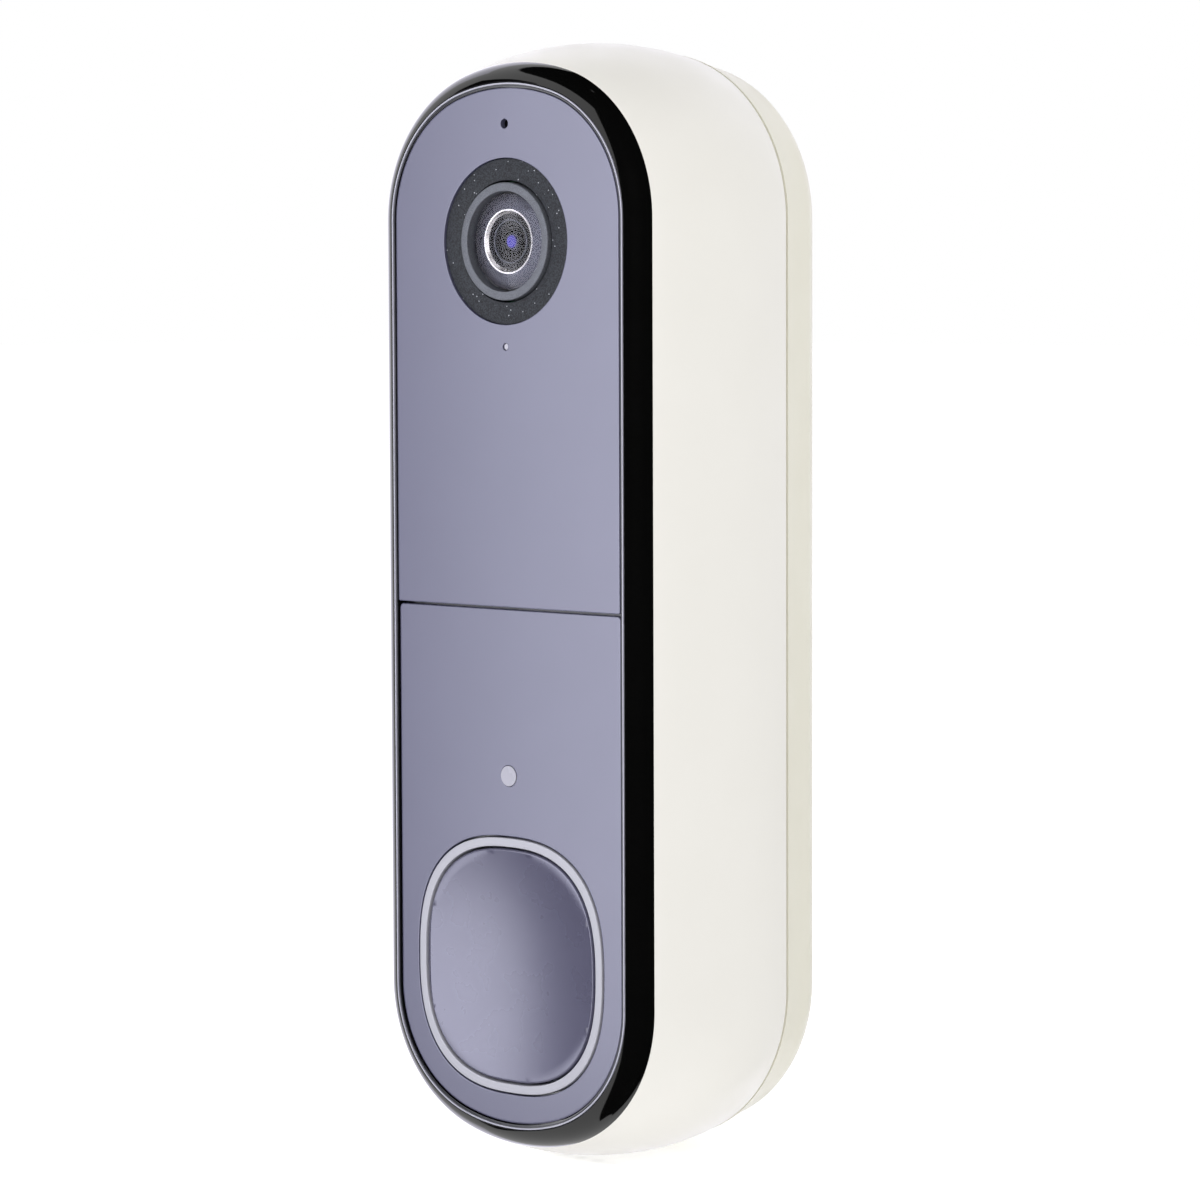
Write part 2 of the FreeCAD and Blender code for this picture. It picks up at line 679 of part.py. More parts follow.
# Camera --------------------------------------------------------------------
def make_lens_surround():
    return tube(SURROUND_R, LENS_RING_R + LENS_RING_GAP, SURROUND_RECESS, PANEL_BACK, 0, LENS_Z)


def make_lens_ring():
    outer = rod(LENS_RING_R, 0, LENS_RING_LENGTH, 0, LENS_Z)
    front = tube(LENS_RING_R + 1, LENS_RING_R - LENS_RING_BEVEL, 0, LENS_RING_BEVEL, 0, LENS_Z)
    return outer.cut(front).cut(rod(LENS_RING_BORE, 0, LENS_RING_LENGTH, 0, LENS_Z))


def barrel_back():
    return FRONT_LENS_EDGE + BARREL_LENGTH


def make_lens_barrel():
    """A stepped tube: the wide front in the lens ring, the narrow rear in the holder."""
    outer = LENS_RING_BORE - LENS_SEAT_GAP
    front = FRONT_LENS_EDGE + MASK_THICKNESS
    step = LENS_RING_LENGTH + 0.6
    barrel = rod(outer, front, step, 0, LENS_Z)
    barrel = barrel.fuse(rod(outer - BARREL_WALL, step - 0.1, barrel_back(), 0, LENS_Z))
    bores = [rod(MASK_BORE, 0, front + BORE_STEP, 0, LENS_Z)]
    first_bore = first_lens_back() + BORE_STEP_PITCH
    bores.append(rod(FIRST_LENS_R + LENS_SEAT_GAP, 0, first_bore, 0, LENS_Z))
    bores.append(rod(THROAT_R, 0, barrel_back(), 0, LENS_Z))
    rear = barrel_back() - REAR_BORE
    bores.append(rod(LAST_LENS_R + LENS_SEAT_GAP, rear, barrel_back(), 0, LENS_Z))
    return barrel.cut(fused(bores))


def make_front_lens():
    return cap(LENS_RING_BORE - LENS_SEAT_GAP, FRONT_LENS_EDGE, FRONT_LENS_SAG)


def make_lens_mask():
    front = FRONT_LENS_EDGE
    outer = LENS_RING_BORE - LENS_SEAT_GAP
    ring = tube(outer, MASK_BORE, front, front + MASK_THICKNESS, 0, LENS_Z)
    centre = Vector(0, place(front), LENS_Z)
    wide = MASK_BORE + MASK_BEVEL
    bevel = Part.makeCone(wide, MASK_BORE, MASK_THICKNESS / 2, centre, Vector(0, 1, 0))
    return ring.cut(bevel)


def first_lens_back():
    return FRONT_LENS_EDGE + MASK_THICKNESS + FIRST_LENS_SINK


def make_inner_lens_front():
    """A domed element in the barrel's first step."""
    edge = first_lens_back() - FIRST_LENS_EDGE
    dome = cap(FIRST_LENS_R, edge, FIRST_LENS_SAG)
    return fused([dome, rod(FIRST_LENS_R, edge, first_lens_back(), 0, LENS_Z)])


def make_inner_lens_rear():
    back = barrel_back() - 0.6
    return rod(LAST_LENS_R, back - LAST_LENS_THICKNESS, back, 0, LENS_Z)


def holder_front():
    return barrel_back() - REAR_BORE


def filter_front():
    return barrel_back() + 0.6


def camera_board_front():
    return holder_front() + HOLDER_DEPTH


def make_camera_holder():
    """The block that grips the barrel and holds the sliding filter behind it."""
    front = holder_front()
    back = camera_board_front()
    low = LENS_Z - HOLDER_HEIGHT / 2
    body = block(HOLDER_WIDTH / 2, front, back, low, low + HOLDER_HEIGHT)
    grip = rod(LENS_RING_BORE - BARREL_WALL, front - 0.1, barrel_back(), 0, LENS_Z)
    beam = rod(THROAT_R + 0.6, front, back, 0, LENS_Z)
    track_half = FILTER_SIZE / 2 + SLIDE_GAP
    track_front = filter_front() - SLIDE_GAP
    track_back = filter_front() + SHUTTLE_THICKNESS + SLIDE_GAP
    track_low = LENS_Z - track_half
    track = block(HOLDER_WIDTH / 2 - 1, track_front, track_back, track_low, LENS_Z + track_half)
    room_low = LENS_Z - SENSOR_ROOM_HALF_H
    room_high = LENS_Z + SENSOR_ROOM_HALF_H
    sensor_room = block(SENSOR_ROOM_HALF_W, track_back - SLIDE_GAP, back, room_low, room_high)
    ears = []
    for x, z in camera_screw_places():
        ears.append(rod(0.7, back - 2.2, back, x, z))
    return body.cut(group([grip, beam, track, sensor_room] + ears))


def camera_screw_places():
    x = HOLDER_WIDTH / 2 - CAMERA_SCREW_INSET
    z = HOLDER_HEIGHT / 2 - CAMERA_SCREW_INSET
    return [(-x, LENS_Z - z), (x, LENS_Z + z)]


def shuttle_x():
    """The shuttle rests with its first filter on the lens axis, the second beside it."""
    return -FILTER_TRAVEL / 2


def make_filter_shuttle():
    half = FILTER_TRAVEL / 2 + FILTER_SIZE / 2
    front = filter_front()
    back = front + SHUTTLE_THICKNESS
    low = LENS_Z - FILTER_SIZE / 2
    frame = block(half, front, back, low, LENS_Z + FILTER_SIZE / 2, shuttle_x())
    windows = [filter_pane(x, front, back) for x in filter_places()]
    return frame.cut(group(windows))


def filter_places():
    return (-FILTER_TRAVEL, 0.0)


def filter_pane(x, front, back):
    return block(FILTER_WINDOW, front, back, LENS_Z - FILTER_WINDOW, LENS_Z + FILTER_WINDOW, x)


def make_filter_glasses():
    front = filter_front() + 0.35
    return group([filter_pane(x, front, front + FILTER_THICKNESS) for x in filter_places()])


def make_image_sensor():
    back = camera_board_front()
    return block(3.4, back - 1.1, back, LENS_Z - 3.2, LENS_Z + 3.2)


def make_camera_board():
    front = camera_board_front()
    half_h = HOLDER_HEIGHT / 2 + 0.5
    back = front + BOARD_THICKNESS
    board = block(HOLDER_WIDTH / 2 + 0.5, front, back, LENS_Z - half_h, LENS_Z + half_h)
    holes = [rod(CAMERA_SCREW_R + 0.15, front, back, x, z) for x, z in camera_screw_places()]
    return board.cut(group(holes))


def make_camera_screws():
    back = camera_board_front() + BOARD_THICKNESS
    screws = []
    for x, z in camera_screw_places():
        head = rod(CAMERA_SCREW_HEAD_R, back, back + 0.8, x, z)
        screws.append(head.fuse(rod(CAMERA_SCREW_R, back - 3.0, back, x, z)))
    return group(screws)


def make_camera_flex():
    """A flat ribbon from the camera board down to the main board."""
    top_front = camera_board_front() + BOARD_THICKNESS
    low_front = BOARD_FRONT + BOARD_THICKNESS
    socket_top = BOARD_TOP - 0.4
    drop_z = LENS_Z - HOLDER_HEIGHT / 2 - 1.4
    top_back = top_front + FLEX_THICKNESS
    pieces = [block(FLEX_HALF_W, top_front, top_back, drop_z, LENS_Z - 2.0)]
    pieces.append(block(FLEX_HALF_W, low_front, top_back, drop_z - FLEX_THICKNESS, drop_z))
    low_back = low_front + FLEX_THICKNESS
    pieces.append(block(FLEX_HALF_W, low_front, low_back, socket_top - 4.0, drop_z))
    return fused(pieces)


def ir_led_places():
    radius = (LENS_RING_R + SURROUND_R - SURROUND_SEAT) / 2
    angles = [math.radians(step * 60 + 30) for step in range(6)]
    return [(radius * math.cos(a), LENS_Z + radius * math.sin(a)) for a in angles]


def make_ir_leds():
    back = BEZEL_BACK + 0.5
    half = LED_SIZE / 2
    front = PANEL_BACK + FIT_GAP
    return group([block(half, front, back, z - half, z + half, x) for x, z in ir_led_places()])


def make_ir_board():
    front = BEZEL_BACK + 0.5
    return tube(SURROUND_R - SURROUND_SEAT, LENS_RING_R + FIT_GAP, front, front + 0.6, 0, LENS_Z)


# Microphone and sensors ----------------------------------------------------
def make_mic_gasket():
    return tube(2.4, MIC_R + 0.2, BEZEL_BACK, BEZEL_BACK + 0.8, 0, MIC_Z)


def make_microphone():
    front = BEZEL_BACK + 0.8
    board = block(4.0, front, front + 0.6, MIC_Z - 2.0, MIC_Z + 2.0)
    can = block(1.75, front + 0.6, front + 1.6, MIC_Z - 1.3, MIC_Z + 1.3)
    return fused([board, can]).cut(rod(0.3, front, front + 1.0, 0, MIC_Z))


def make_light_pipe():
    """The clear pin behind the small hole below the lens."""
    pin = rod(LIGHT_R - 0.05, UPPER_RECESS + 0.25, PANEL_BACK, 0, LIGHT_Z)
    return pin.fuse(rod(LIGHT_R + 0.3, PANEL_BACK, BOARD_FRONT - 0.6, 0, LIGHT_Z))


def make_light_sensor():
    return block(0.8, BOARD_FRONT - 0.6, BOARD_FRONT, LIGHT_Z - 0.8, LIGHT_Z + 0.8)


def make_motion_window():
    pin = rod(MOTION_R, LOWER_RECESS - 0.05, PANEL_BACK, 0, MOTION_Z)
    return pin.fuse(rod(MOTION_R + 0.9, PANEL_BACK, BEZEL_BACK, 0, MOTION_Z))


def make_motion_sensor():
    """A round infrared sensor can on its collar."""
    can = rod(2.3, BEZEL_BACK + 0.2, BOARD_FRONT - 0.5, 0, MOTION_Z)
    return can.fuse(rod(2.8, BOARD_FRONT - 0.5, BOARD_FRONT, 0, MOTION_Z))


# Call button ---------------------------------------------------------------
def cap_half_w():
    return RING_HALF_W - RING_FACE - BUTTON_GAP


def cap_half_h():
    return RING_HALF_H - RING_FACE - BUTTON_GAP


def make_button_light_ring():
    back = BEZEL_BACK + 1.5
    ring = squircle(RING_HALF_W, RING_HALF_H, RING_RECESS, back)
    wide, high = RING_HALF_W + BUTTON_FLANGE, RING_HALF_H + BUTTON_FLANGE
    flange = squircle(wide, high, BEZEL_BACK, BEZEL_BACK + FLANGE_THICKNESS)
    bore = squircle(RING_HALF_W - RING_FACE, RING_HALF_H - RING_FACE, 0, DEPTH)
    return ring.fuse(flange).cut(bore)


def button_flange_front():
    return BEZEL_BACK + 1.5 + 0.1


def plunger_front():
    return button_flange_front() + 2.0


def make_button_cap():
    half_w = cap_half_w()
    half_h = cap_half_h()
    flange = button_flange_front()
    back = flange + FLANGE_THICKNESS
    body = squircle(half_w, half_h, BUTTON_RECESS, back)
    body = body.fuse(squircle(half_w + BUTTON_FLANGE, half_h + BUTTON_FLANGE, flange, back))
    ball_r = (half_h ** 2 + BUTTON_DISH ** 2) / (2 * BUTTON_DISH)
    ball = Part.makeSphere(ball_r, Vector(0, place(BUTTON_RECESS + BUTTON_DISH - ball_r), BUTTON_Z))
    face_back = BUTTON_RECESS + BUTTON_DISH + BUTTON_WALL
    room = squircle(half_w - BUTTON_WALL, half_h - BUTTON_WALL, face_back, DEPTH)
    boss = rod(BOSS_R, face_back - 0.1, plunger_front(), 0, BUTTON_Z)
    return body.cut(ball).cut(room).fuse(boss)


def switch_body_front():
    return plunger_front() + 1.0


def button_board_front():
    return switch_body_front() + SWITCH_HEIGHT


def make_switch_plunger():
    return rod(PLUNGER_R, plunger_front(), switch_body_front() + 0.6, 0, BUTTON_Z)


def make_button_switch():
    front = switch_body_front()
    low = BUTTON_Z - SWITCH_HALF
    body = block(SWITCH_HALF, front, button_board_front(), low, BUTTON_Z + SWITCH_HALF)
    depth = 0.6 + BUTTON_TRAVEL + 0.1
    return body.cut(rod(PLUNGER_R + 0.15, front, front + depth, 0, BUTTON_Z))


def make_button_dome():
    """The rubber pad that returns the cap: a foot round the switch and a sloping skirt."""
    foot_back = button_board_front()
    foot = tube(DOME_FOOT_R, DOME_FOOT_BORE, foot_back - 0.8, foot_back, 0, BUTTON_Z)
    axis = Vector(0, 1, 0)
    top = plunger_front()
    length = foot_back - 0.8 - top
    tip = Vector(0, place(top), BUTTON_Z)
    outer = Part.makeCone(DOME_TOP_R, DOME_LOW_R, length, tip, axis)
    inner = Part.makeCone(DOME_TOP_R - DOME_WALL, DOME_LOW_R - DOME_WALL, length, tip, axis)
    return outer.cut(inner).fuse(foot)


def make_button_board():
    front = button_board_front()
    half = BUTTON_BOARD_HALF
    back = front + BOARD_THICKNESS
    return soft_block(half, front, back, BUTTON_Z - half, BUTTON_Z + half, 3.0)


def make_button_leds():
    back = button_board_front()
    leds = []
    for side in (-1, 1):
        for end in (-1, 1):
            z = BUTTON_Z + end * LED_OFFSET
            x = side * LED_OFFSET
            leds.append(block(LED_HALF, back - 0.8, back, z - LED_HALF, z + LED_HALF, x))
    return group(leds)


# Boards --------------------------------------------------------------------
def board_screw_places():
    x = MAIN_BOARD_HALF_W - 3.0
    return [(side * x, z) for side in (-1, 1) for z in (BOARD_BOTTOM + 3.0, BOARD_TOP - 3.0)]


def make_main_board():
    back = BOARD_FRONT + BOARD_THICKNESS
    board = soft_block(MAIN_BOARD_HALF_W, BOARD_FRONT, back, BOARD_BOTTOM, BOARD_TOP, 1.5)
    holes = [rod(0.9, BOARD_FRONT, back, x, z) for x, z in board_screw_places()]
    return board.cut(group(holes))


def make_board_screws():
    back = BOARD_FRONT + BOARD_THICKNESS
    screws = []
    for x, z in board_screw_places():
        head = rod(1.4, back, back + 0.8, x, z)
        screws.append(head.fuse(rod(0.6, BOARD_FRONT - 2.0, back, x, z)))
    return group(screws)


def make_processor():
    back = BOARD_FRONT + BOARD_THICKNESS
    return block(6.0, back, back + 1.2, 6.0, 18.0)


def make_shield_cans():
    back = BOARD_FRONT + BOARD_THICKNESS
    large = block(7.0, back, back + CAN_HEIGHT, -22.0, -4.0, -8.0)
    small = block(5.0, back, back + CAN_HEIGHT, -18.0, -6.0, 9.0)
    return group([large, small])


def make_wifi_antenna():
    """A flat metal antenna standing off the board's upper left edge."""
    x = -MAIN_BOARD_HALF_W + 2.0
    front = BOARD_FRONT + BOARD_THICKNESS
    flag = block(0.2, front, front + 2.6, 4.0, 24.0, x)
    leg = block(0.8, front, front + 0.3, 4.0, 6.0, x + 0.8)
    return fused([flag, leg])


# Battery -------------------------------------------------------------------
def make_battery_case():
    lid_front = PACK_REAR - CASE_WALL
    high = PACK_HALF_H
    outer = soft_block(PACK_HALF_W, PACK_FRONT, lid_front, -high, high, PACK_CORNER_R)
    half_w = PACK_HALF_W - CASE_WALL
    half_h = PACK_HALF_H - CASE_WALL
    inner = block(half_w, PACK_FRONT + CASE_WALL, DEPTH, -half_h, half_h)
    notch_front = PACK_REAR - LATCH_DROP - 0.2
    notch = block(LATCH_HALF_W + 0.4, notch_front, DEPTH, high - CASE_WALL - 0.1, high + 0.1)
    cuts = [inner, notch]
    for x in contact_places():
        low = contact_z() - 2
        cuts.append(block(1.5, 0, PACK_FRONT + CASE_WALL + 0.1, low, contact_z() + 2, x))
    cuts.append(usb_opening())
    return outer.cut(group(cuts))


def make_battery_lid():
    front = PACK_REAR - CASE_WALL
    lid = soft_block(PACK_HALF_W, front, PACK_REAR, -PACK_HALF_H, PACK_HALF_H, PACK_CORNER_R)
    grip = soft_block(7.0, PACK_REAR - 0.4, DEPTH, -22.0, -16.0, 2.5)
    return lid.cut(grip)


def cell_x():
    return CELL_R + CELL_GAP / 2


def pack_middle():
    return PACK_FRONT + PACK_THICKNESS / 2


def make_battery_cells():
    low = -PACK_HALF_H + CASE_WALL + PACK_BOARD_SPACE + 0.1
    high = low + CELL_LENGTH - 0.2
    return group([column(CELL_R, low, high, side * cell_x(), pack_middle()) for side in (-1, 1)])


def make_battery_board():
    low = -PACK_HALF_H + CASE_WALL + 1.5
    half = PACK_HALF_W - CASE_WALL - 1.0
    return block(half, pack_middle() - 7.0, pack_middle() + 7.0, low, low + BOARD_THICKNESS)


def usb_opening():
    low = -PACK_HALF_H
    middle = pack_middle()
    return block(USB_HALF_W, middle - USB_HALF_D, middle + USB_HALF_D, low, low + USB_DEPTH)


def make_usb_port():
    low = -PACK_HALF_H + 0.1
    high = -PACK_HALF_H + CASE_WALL + 1.5
    middle = pack_middle()
    half_d = USB_SHELL_HALF_D
    shell = block(USB_SHELL_HALF_W, middle - half_d, middle + half_d, low, high)
    half_d -= USB_WALL
    half_w = USB_SHELL_HALF_W - USB_WALL
    return shell.cut(block(half_w, middle - half_d, middle + half_d, low, high - 0.4))


def contact_places():
    return (-CONTACT_PITCH, 0.0, CONTACT_PITCH)


def contact_z():
    return -PACK_HALF_H + CONTACT_ABOVE_END


def make_battery_pads():
    front = PACK_FRONT + CONTACT_LIFT
    low, high = contact_z() - 1.9, contact_z() + 1.9
    return group([block(1.4, front, front + 0.6, low, high, x) for x in contact_places()])


def make_battery_springs():
    """Three leaf contacts that reach from the bay's floor to the pack's pads."""
    leaves = []
    back = PACK_FRONT + CONTACT_LIFT
    floor = BAY_FLOOR - BAY_WALL
    z = contact_z()
    for x in contact_places():
        foot = block(SPRING_HALF_W, floor - 0.4, floor, z - 3.0, z + 3.0, x)
        rise = block(SPRING_HALF_W, floor - 0.1, back, z - 1.6, z - 1.3, x)
        tip = block(SPRING_HALF_W, back - 0.3, back, z - 1.4, z + 1.2, x)
        leaves.append(fused([foot, rise, tip]))
    return group(leaves)


def make_battery_latch():
    """The springy tongue at the pack's upper end, with its catch in the bay's wall."""
    high = PACK_HALF_H
    front = PACK_REAR - LATCH_DROP
    tongue = block(LATCH_HALF_W, front, PACK_REAR - CASE_WALL, high - 0.7, high)
    nose = block(LATCH_HALF_W, front, front + 1.2, high - 0.1, high + BAY_CLEARANCE + 0.6)
    return fused([tongue, nose])


# Rear of the unit ----------------------------------------------------------
def terminal_places():
    return [TERMINAL_X + side * TERMINAL_SPACING / 2 for side in (-1, 1)]


def make_terminal_block():
    half_h = TERMINAL_HALF_H - FIT_GAP
    low, high = REAR_ROW_Z - half_h, REAR_ROW_Z + half_h
    half_w = TERMINAL_SPACING - FIT_GAP
    body = block(half_w, CHASSIS_FRONT - 2.0, UNIT_REAR + 0.4, low, high, TERMINAL_X)
    holes = [rod(1.4, CHASSIS_FRONT - 1.6, DEPTH, x, REAR_ROW_Z) for x in terminal_places()]
    return body.cut(group(holes))


def make_terminal_screws():
    screws = []
    for x in terminal_places():
        head = rod(TERMINAL_HEAD_R, UNIT_REAR + 0.4, UNIT_REAR + 2.0, x, REAR_ROW_Z)
        shank = rod(TERMINAL_SHANK_R, CHASSIS_FRONT - 1.0, UNIT_REAR + 0.5, x, REAR_ROW_Z)
        low, high = REAR_ROW_Z - 0.35, REAR_ROW_Z + 0.35
        drive = block(TERMINAL_HEAD_R + 0.1, UNIT_REAR + 1.4, DEPTH, low, high, x)
        screws.append(head.fuse(shank).cut(drive))
    return group(screws)


def sync_head_front():
    return CHASSIS_FRONT - 1.0


def make_sync_button():
    head = rod(SYNC_R, sync_head_front(), UNIT_REAR + 0.2, SYNC_X, REAR_ROW_Z)
    flange = rod(SYNC_R + 1.0, CHASSIS_FRONT - 0.9, CHASSIS_FRONT - 0.1, SYNC_X, REAR_ROW_Z)
    return head.fuse(flange)


def make_sync_switch():
    """The small switch in front of the sync button."""
    back = sync_head_front() - SYNC_TRAVEL - 0.1
    half = SYNC_SWITCH_SIZE / 2
    return block(half, back - 2.0, back, REAR_ROW_Z - half, REAR_ROW_Z + half, SYNC_X)


# Speaker -------------------------------------------------------------------
def speaker_low():
    return speaker_floor() + SPEAKER_GASKET


def make_speaker_gasket():
    floor = speaker_floor()
    top = floor + SPEAKER_GASKET
    ring = column(SPEAKER_R - 0.2, floor, top, 0, SPEAKER_DEPTH)
    return ring.cut(column(SPEAKER_R - SPEAKER_RIM, floor, top, 0, SPEAKER_DEPTH))


def make_speaker_basket():
    low = speaker_low()
    high = low + SPEAKER_HEIGHT
    outer = column(SPEAKER_R, low, high, 0, SPEAKER_DEPTH)
    inner = column(SPEAKER_R - 0.8, low, high - 0.8, 0, SPEAKER_DEPTH)
    seat = column(MAGNET_R + 0.05, low, high, 0, SPEAKER_DEPTH)
    return outer.cut(inner).cut(seat)


def make_speaker_magnet():
    top = speaker_low() + SPEAKER_HEIGHT + 0.8
    return column(MAGNET_R, top - MAGNET_LENGTH, top, 0, SPEAKER_DEPTH)


def make_speaker_cone():
    low = speaker_low() + 0.2
    depth = SPEAKER_DEPTH
    base = Vector(0, place(depth), low)
    outer = Part.makeCone(SPEAKER_R - 0.9, 4.0, 1.1, base, Vector(0, 0, 1))
    inner = Part.makeCone(SPEAKER_R - 1.2, 3.7, 0.9, base, Vector(0, 0, 1))
    return outer.cut(inner)


NODES = {
    "wall_plate": make_wall_plate,
    "latch_clip": make_latch_clip,
    "latch_screw": make_latch_screw,
    "housing": make_housing,
    "front_bezel": make_front_bezel,
    "upper_panel": make_upper_panel,
    "lower_panel": make_lower_panel,
    "rear_chassis": make_rear_chassis,
    "chassis_seal": make_chassis_seal,
    "chassis_screws": make_chassis_screws,
    "lens_surround": make_lens_surround,
    "lens_ring": make_lens_ring,
    "lens_barrel": make_lens_barrel,
    "front_lens": make_front_lens,
    "lens_mask": make_lens_mask,
    "inner_lens_front": make_inner_lens_front,
    "inner_lens_rear": make_inner_lens_rear,
    "camera_holder": make_camera_holder,
    "filter_shuttle": make_filter_shuttle,
    "filter_glasses": make_filter_glasses,
    "image_sensor": make_image_sensor,
    "camera_board": make_camera_board,
    "camera_screws": make_camera_screws,
    "camera_flex": make_camera_flex,
    "ir_board": make_ir_board,
    "ir_leds": make_ir_leds,
    "mic_gasket": make_mic_gasket,
    "microphone": make_microphone,
    "light_pipe": make_light_pipe,
    "light_sensor": make_light_sensor,
    "motion_window": make_motion_window,
    "motion_sensor": make_motion_sensor,
    "button_light_ring": make_button_light_ring,
    "button_cap": make_button_cap,
    "switch_plunger": make_switch_plunger,
    "button_switch": make_button_switch,
    "button_dome": make_button_dome,
    "button_board": make_button_board,
    "button_leds": make_button_leds,
    "main_board": make_main_board,
    "board_screws": make_board_screws,
    "processor": make_processor,
    "shield_cans": make_shield_cans,
    "wifi_antenna": make_wifi_antenna,
    "battery_case": make_battery_case,
    "battery_lid": make_battery_lid,
    "battery_cells": make_battery_cells,
    "battery_board": make_battery_board,
    "battery_pads": make_battery_pads,
    "battery_latch": make_battery_latch,
    "usb_port": make_usb_port,
    "battery_springs": make_battery_springs,
    "terminal_block": make_terminal_block,
    "terminal_screws": make_terminal_screws,
    "sync_button": make_sync_button,
    "sync_switch": make_sync_switch,
    "speaker_basket": make_speaker_basket,
    "speaker_magnet": make_speaker_magnet,
    "speaker_cone": make_speaker_cone,
    "speaker_gasket": make_speaker_gasket,
}

os.makedirs("parts", exist_ok=True)
for name, make in NODES.items():
    shape = make()
    shape.exportStep("parts/" + name + ".step")
    print(f"{name:20s} solids {len(shape.Solids)} valid {shape.isValid()} volume {shape.Volume:10.2f}")
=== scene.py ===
import logging
import math
from dataclasses import dataclass
from enum import Enum
from typing import Any, Callable, Iterable, Optional, Sequence

import bmesh
import bpy
from mathutils import Matrix, Vector


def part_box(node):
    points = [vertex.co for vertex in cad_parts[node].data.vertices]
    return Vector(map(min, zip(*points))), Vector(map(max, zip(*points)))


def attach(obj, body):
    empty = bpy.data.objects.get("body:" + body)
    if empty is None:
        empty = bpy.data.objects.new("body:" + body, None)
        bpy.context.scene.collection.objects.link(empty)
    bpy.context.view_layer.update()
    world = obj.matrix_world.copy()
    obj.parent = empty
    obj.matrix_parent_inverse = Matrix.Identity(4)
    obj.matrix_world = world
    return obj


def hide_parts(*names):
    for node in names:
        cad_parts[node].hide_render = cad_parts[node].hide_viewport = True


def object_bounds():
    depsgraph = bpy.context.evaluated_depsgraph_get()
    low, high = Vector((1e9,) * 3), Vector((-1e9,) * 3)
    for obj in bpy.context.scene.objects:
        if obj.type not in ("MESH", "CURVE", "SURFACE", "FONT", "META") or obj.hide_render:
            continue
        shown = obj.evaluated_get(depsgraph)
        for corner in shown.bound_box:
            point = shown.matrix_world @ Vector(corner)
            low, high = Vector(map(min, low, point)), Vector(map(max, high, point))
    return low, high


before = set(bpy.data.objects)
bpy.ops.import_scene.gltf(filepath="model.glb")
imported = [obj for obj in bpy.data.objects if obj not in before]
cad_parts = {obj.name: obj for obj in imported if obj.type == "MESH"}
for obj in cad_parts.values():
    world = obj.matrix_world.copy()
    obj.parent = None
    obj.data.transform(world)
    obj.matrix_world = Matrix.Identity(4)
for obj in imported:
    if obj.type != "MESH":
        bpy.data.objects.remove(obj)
CAD_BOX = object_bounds()

# A battery video doorbell on its wall plate. Sizes are in millimetres and are turned to
# metres as points are made. "Depth" runs from the front rim towards the wall, "grow"
# outwards from the front outline.

log = logging.getLogger("doorbell")

MM = 0.001
# Points closer than TOUCH millimetres are one point, and directions whose cosine is over
# ALONG are one direction.
TOUCH = 1e-4
ALONG = 0.9999
# Edges of a new piece that turn by more degrees than this stay sharp.
CREASE = 32.0

Point = tuple[float, float]
Section = list[Point]
Sample = tuple[float, float, float, float]
Arc = tuple[float, float, float, float, float]
Colour = tuple[float, float, float, float]
Corners = tuple[tuple[float, float, float], ...]
Loop = list[bmesh.types.BMVert]
Object = bpy.types.Object
Socket = bpy.types.NodeSocket
Tree = bpy.types.NodeTree


# Helpers
def linear(hex_colour: str) -> Colour:
    """Turns an sRGB hex colour to linear light.

    Args:
        hex_colour: Six hex digits, red first.

    Returns:
        Linear red, green, blue and an alpha of one.
    """
    parts = [int(hex_colour[i:i + 2], 16) / 255 for i in (0, 2, 4)]
    light = [p / 12.92 if p <= 0.04045 else ((p + 0.055) / 1.055) ** 2.4 for p in parts]
    return (light[0], light[1], light[2], 1.0)


def add_node(
    tree: Tree,
    kind: str,
    settings: Optional[dict[str, Any]] = None,
    inputs: Optional[dict[Any, Any]] = None,
    links: Optional[dict[Any, Socket]] = None,
) -> bpy.types.Node:
    """Adds one node with its settings, its fixed inputs and its links.

    Args:
        tree: The node tree that gets the node.
        kind: Blender's type name of the node.
        settings: Properties to set on the node.
        inputs: Values by input name or index.
        links: Sockets to join, by input name or index.

    Returns:
        The new node.
    """
    node = tree.nodes.new(kind)
    for name, value in (settings or {}).items():
        setattr(node, name, value)
    for key, value in (inputs or {}).items():
        node.inputs[key].default_value = value
    for key, source in (links or {}).items():
        tree.links.new(source, node.inputs[key])
    return node


def hang(name: str, data: Any) -> Object:
    """Puts a mesh, a lamp or a camera in the scene as an object."""
    made = bpy.data.objects.new(name, data)
    bpy.context.scene.collection.objects.link(made)
    return made


def blank(name: str) -> bpy.types.Material:
    """A new material with an empty node tree."""
    made = bpy.data.materials.new(name)
    made.use_nodes = True
    made.node_tree.nodes.clear()
    return made


def towards(azimuth: float, elevation: float) -> Vector:
    """The direction from the object out to a stand, with both angles in degrees."""
    a, e = math.radians(azimuth), math.radians(elevation)
    return Vector((math.sin(a) * math.cos(e), -math.cos(a) * math.cos(e), math.sin(e)))


def corner(angle: float) -> Point:
    """The direction of an angle in degrees, from the right side towards the top."""
    return (math.cos(math.radians(angle)), math.sin(math.radians(angle)))


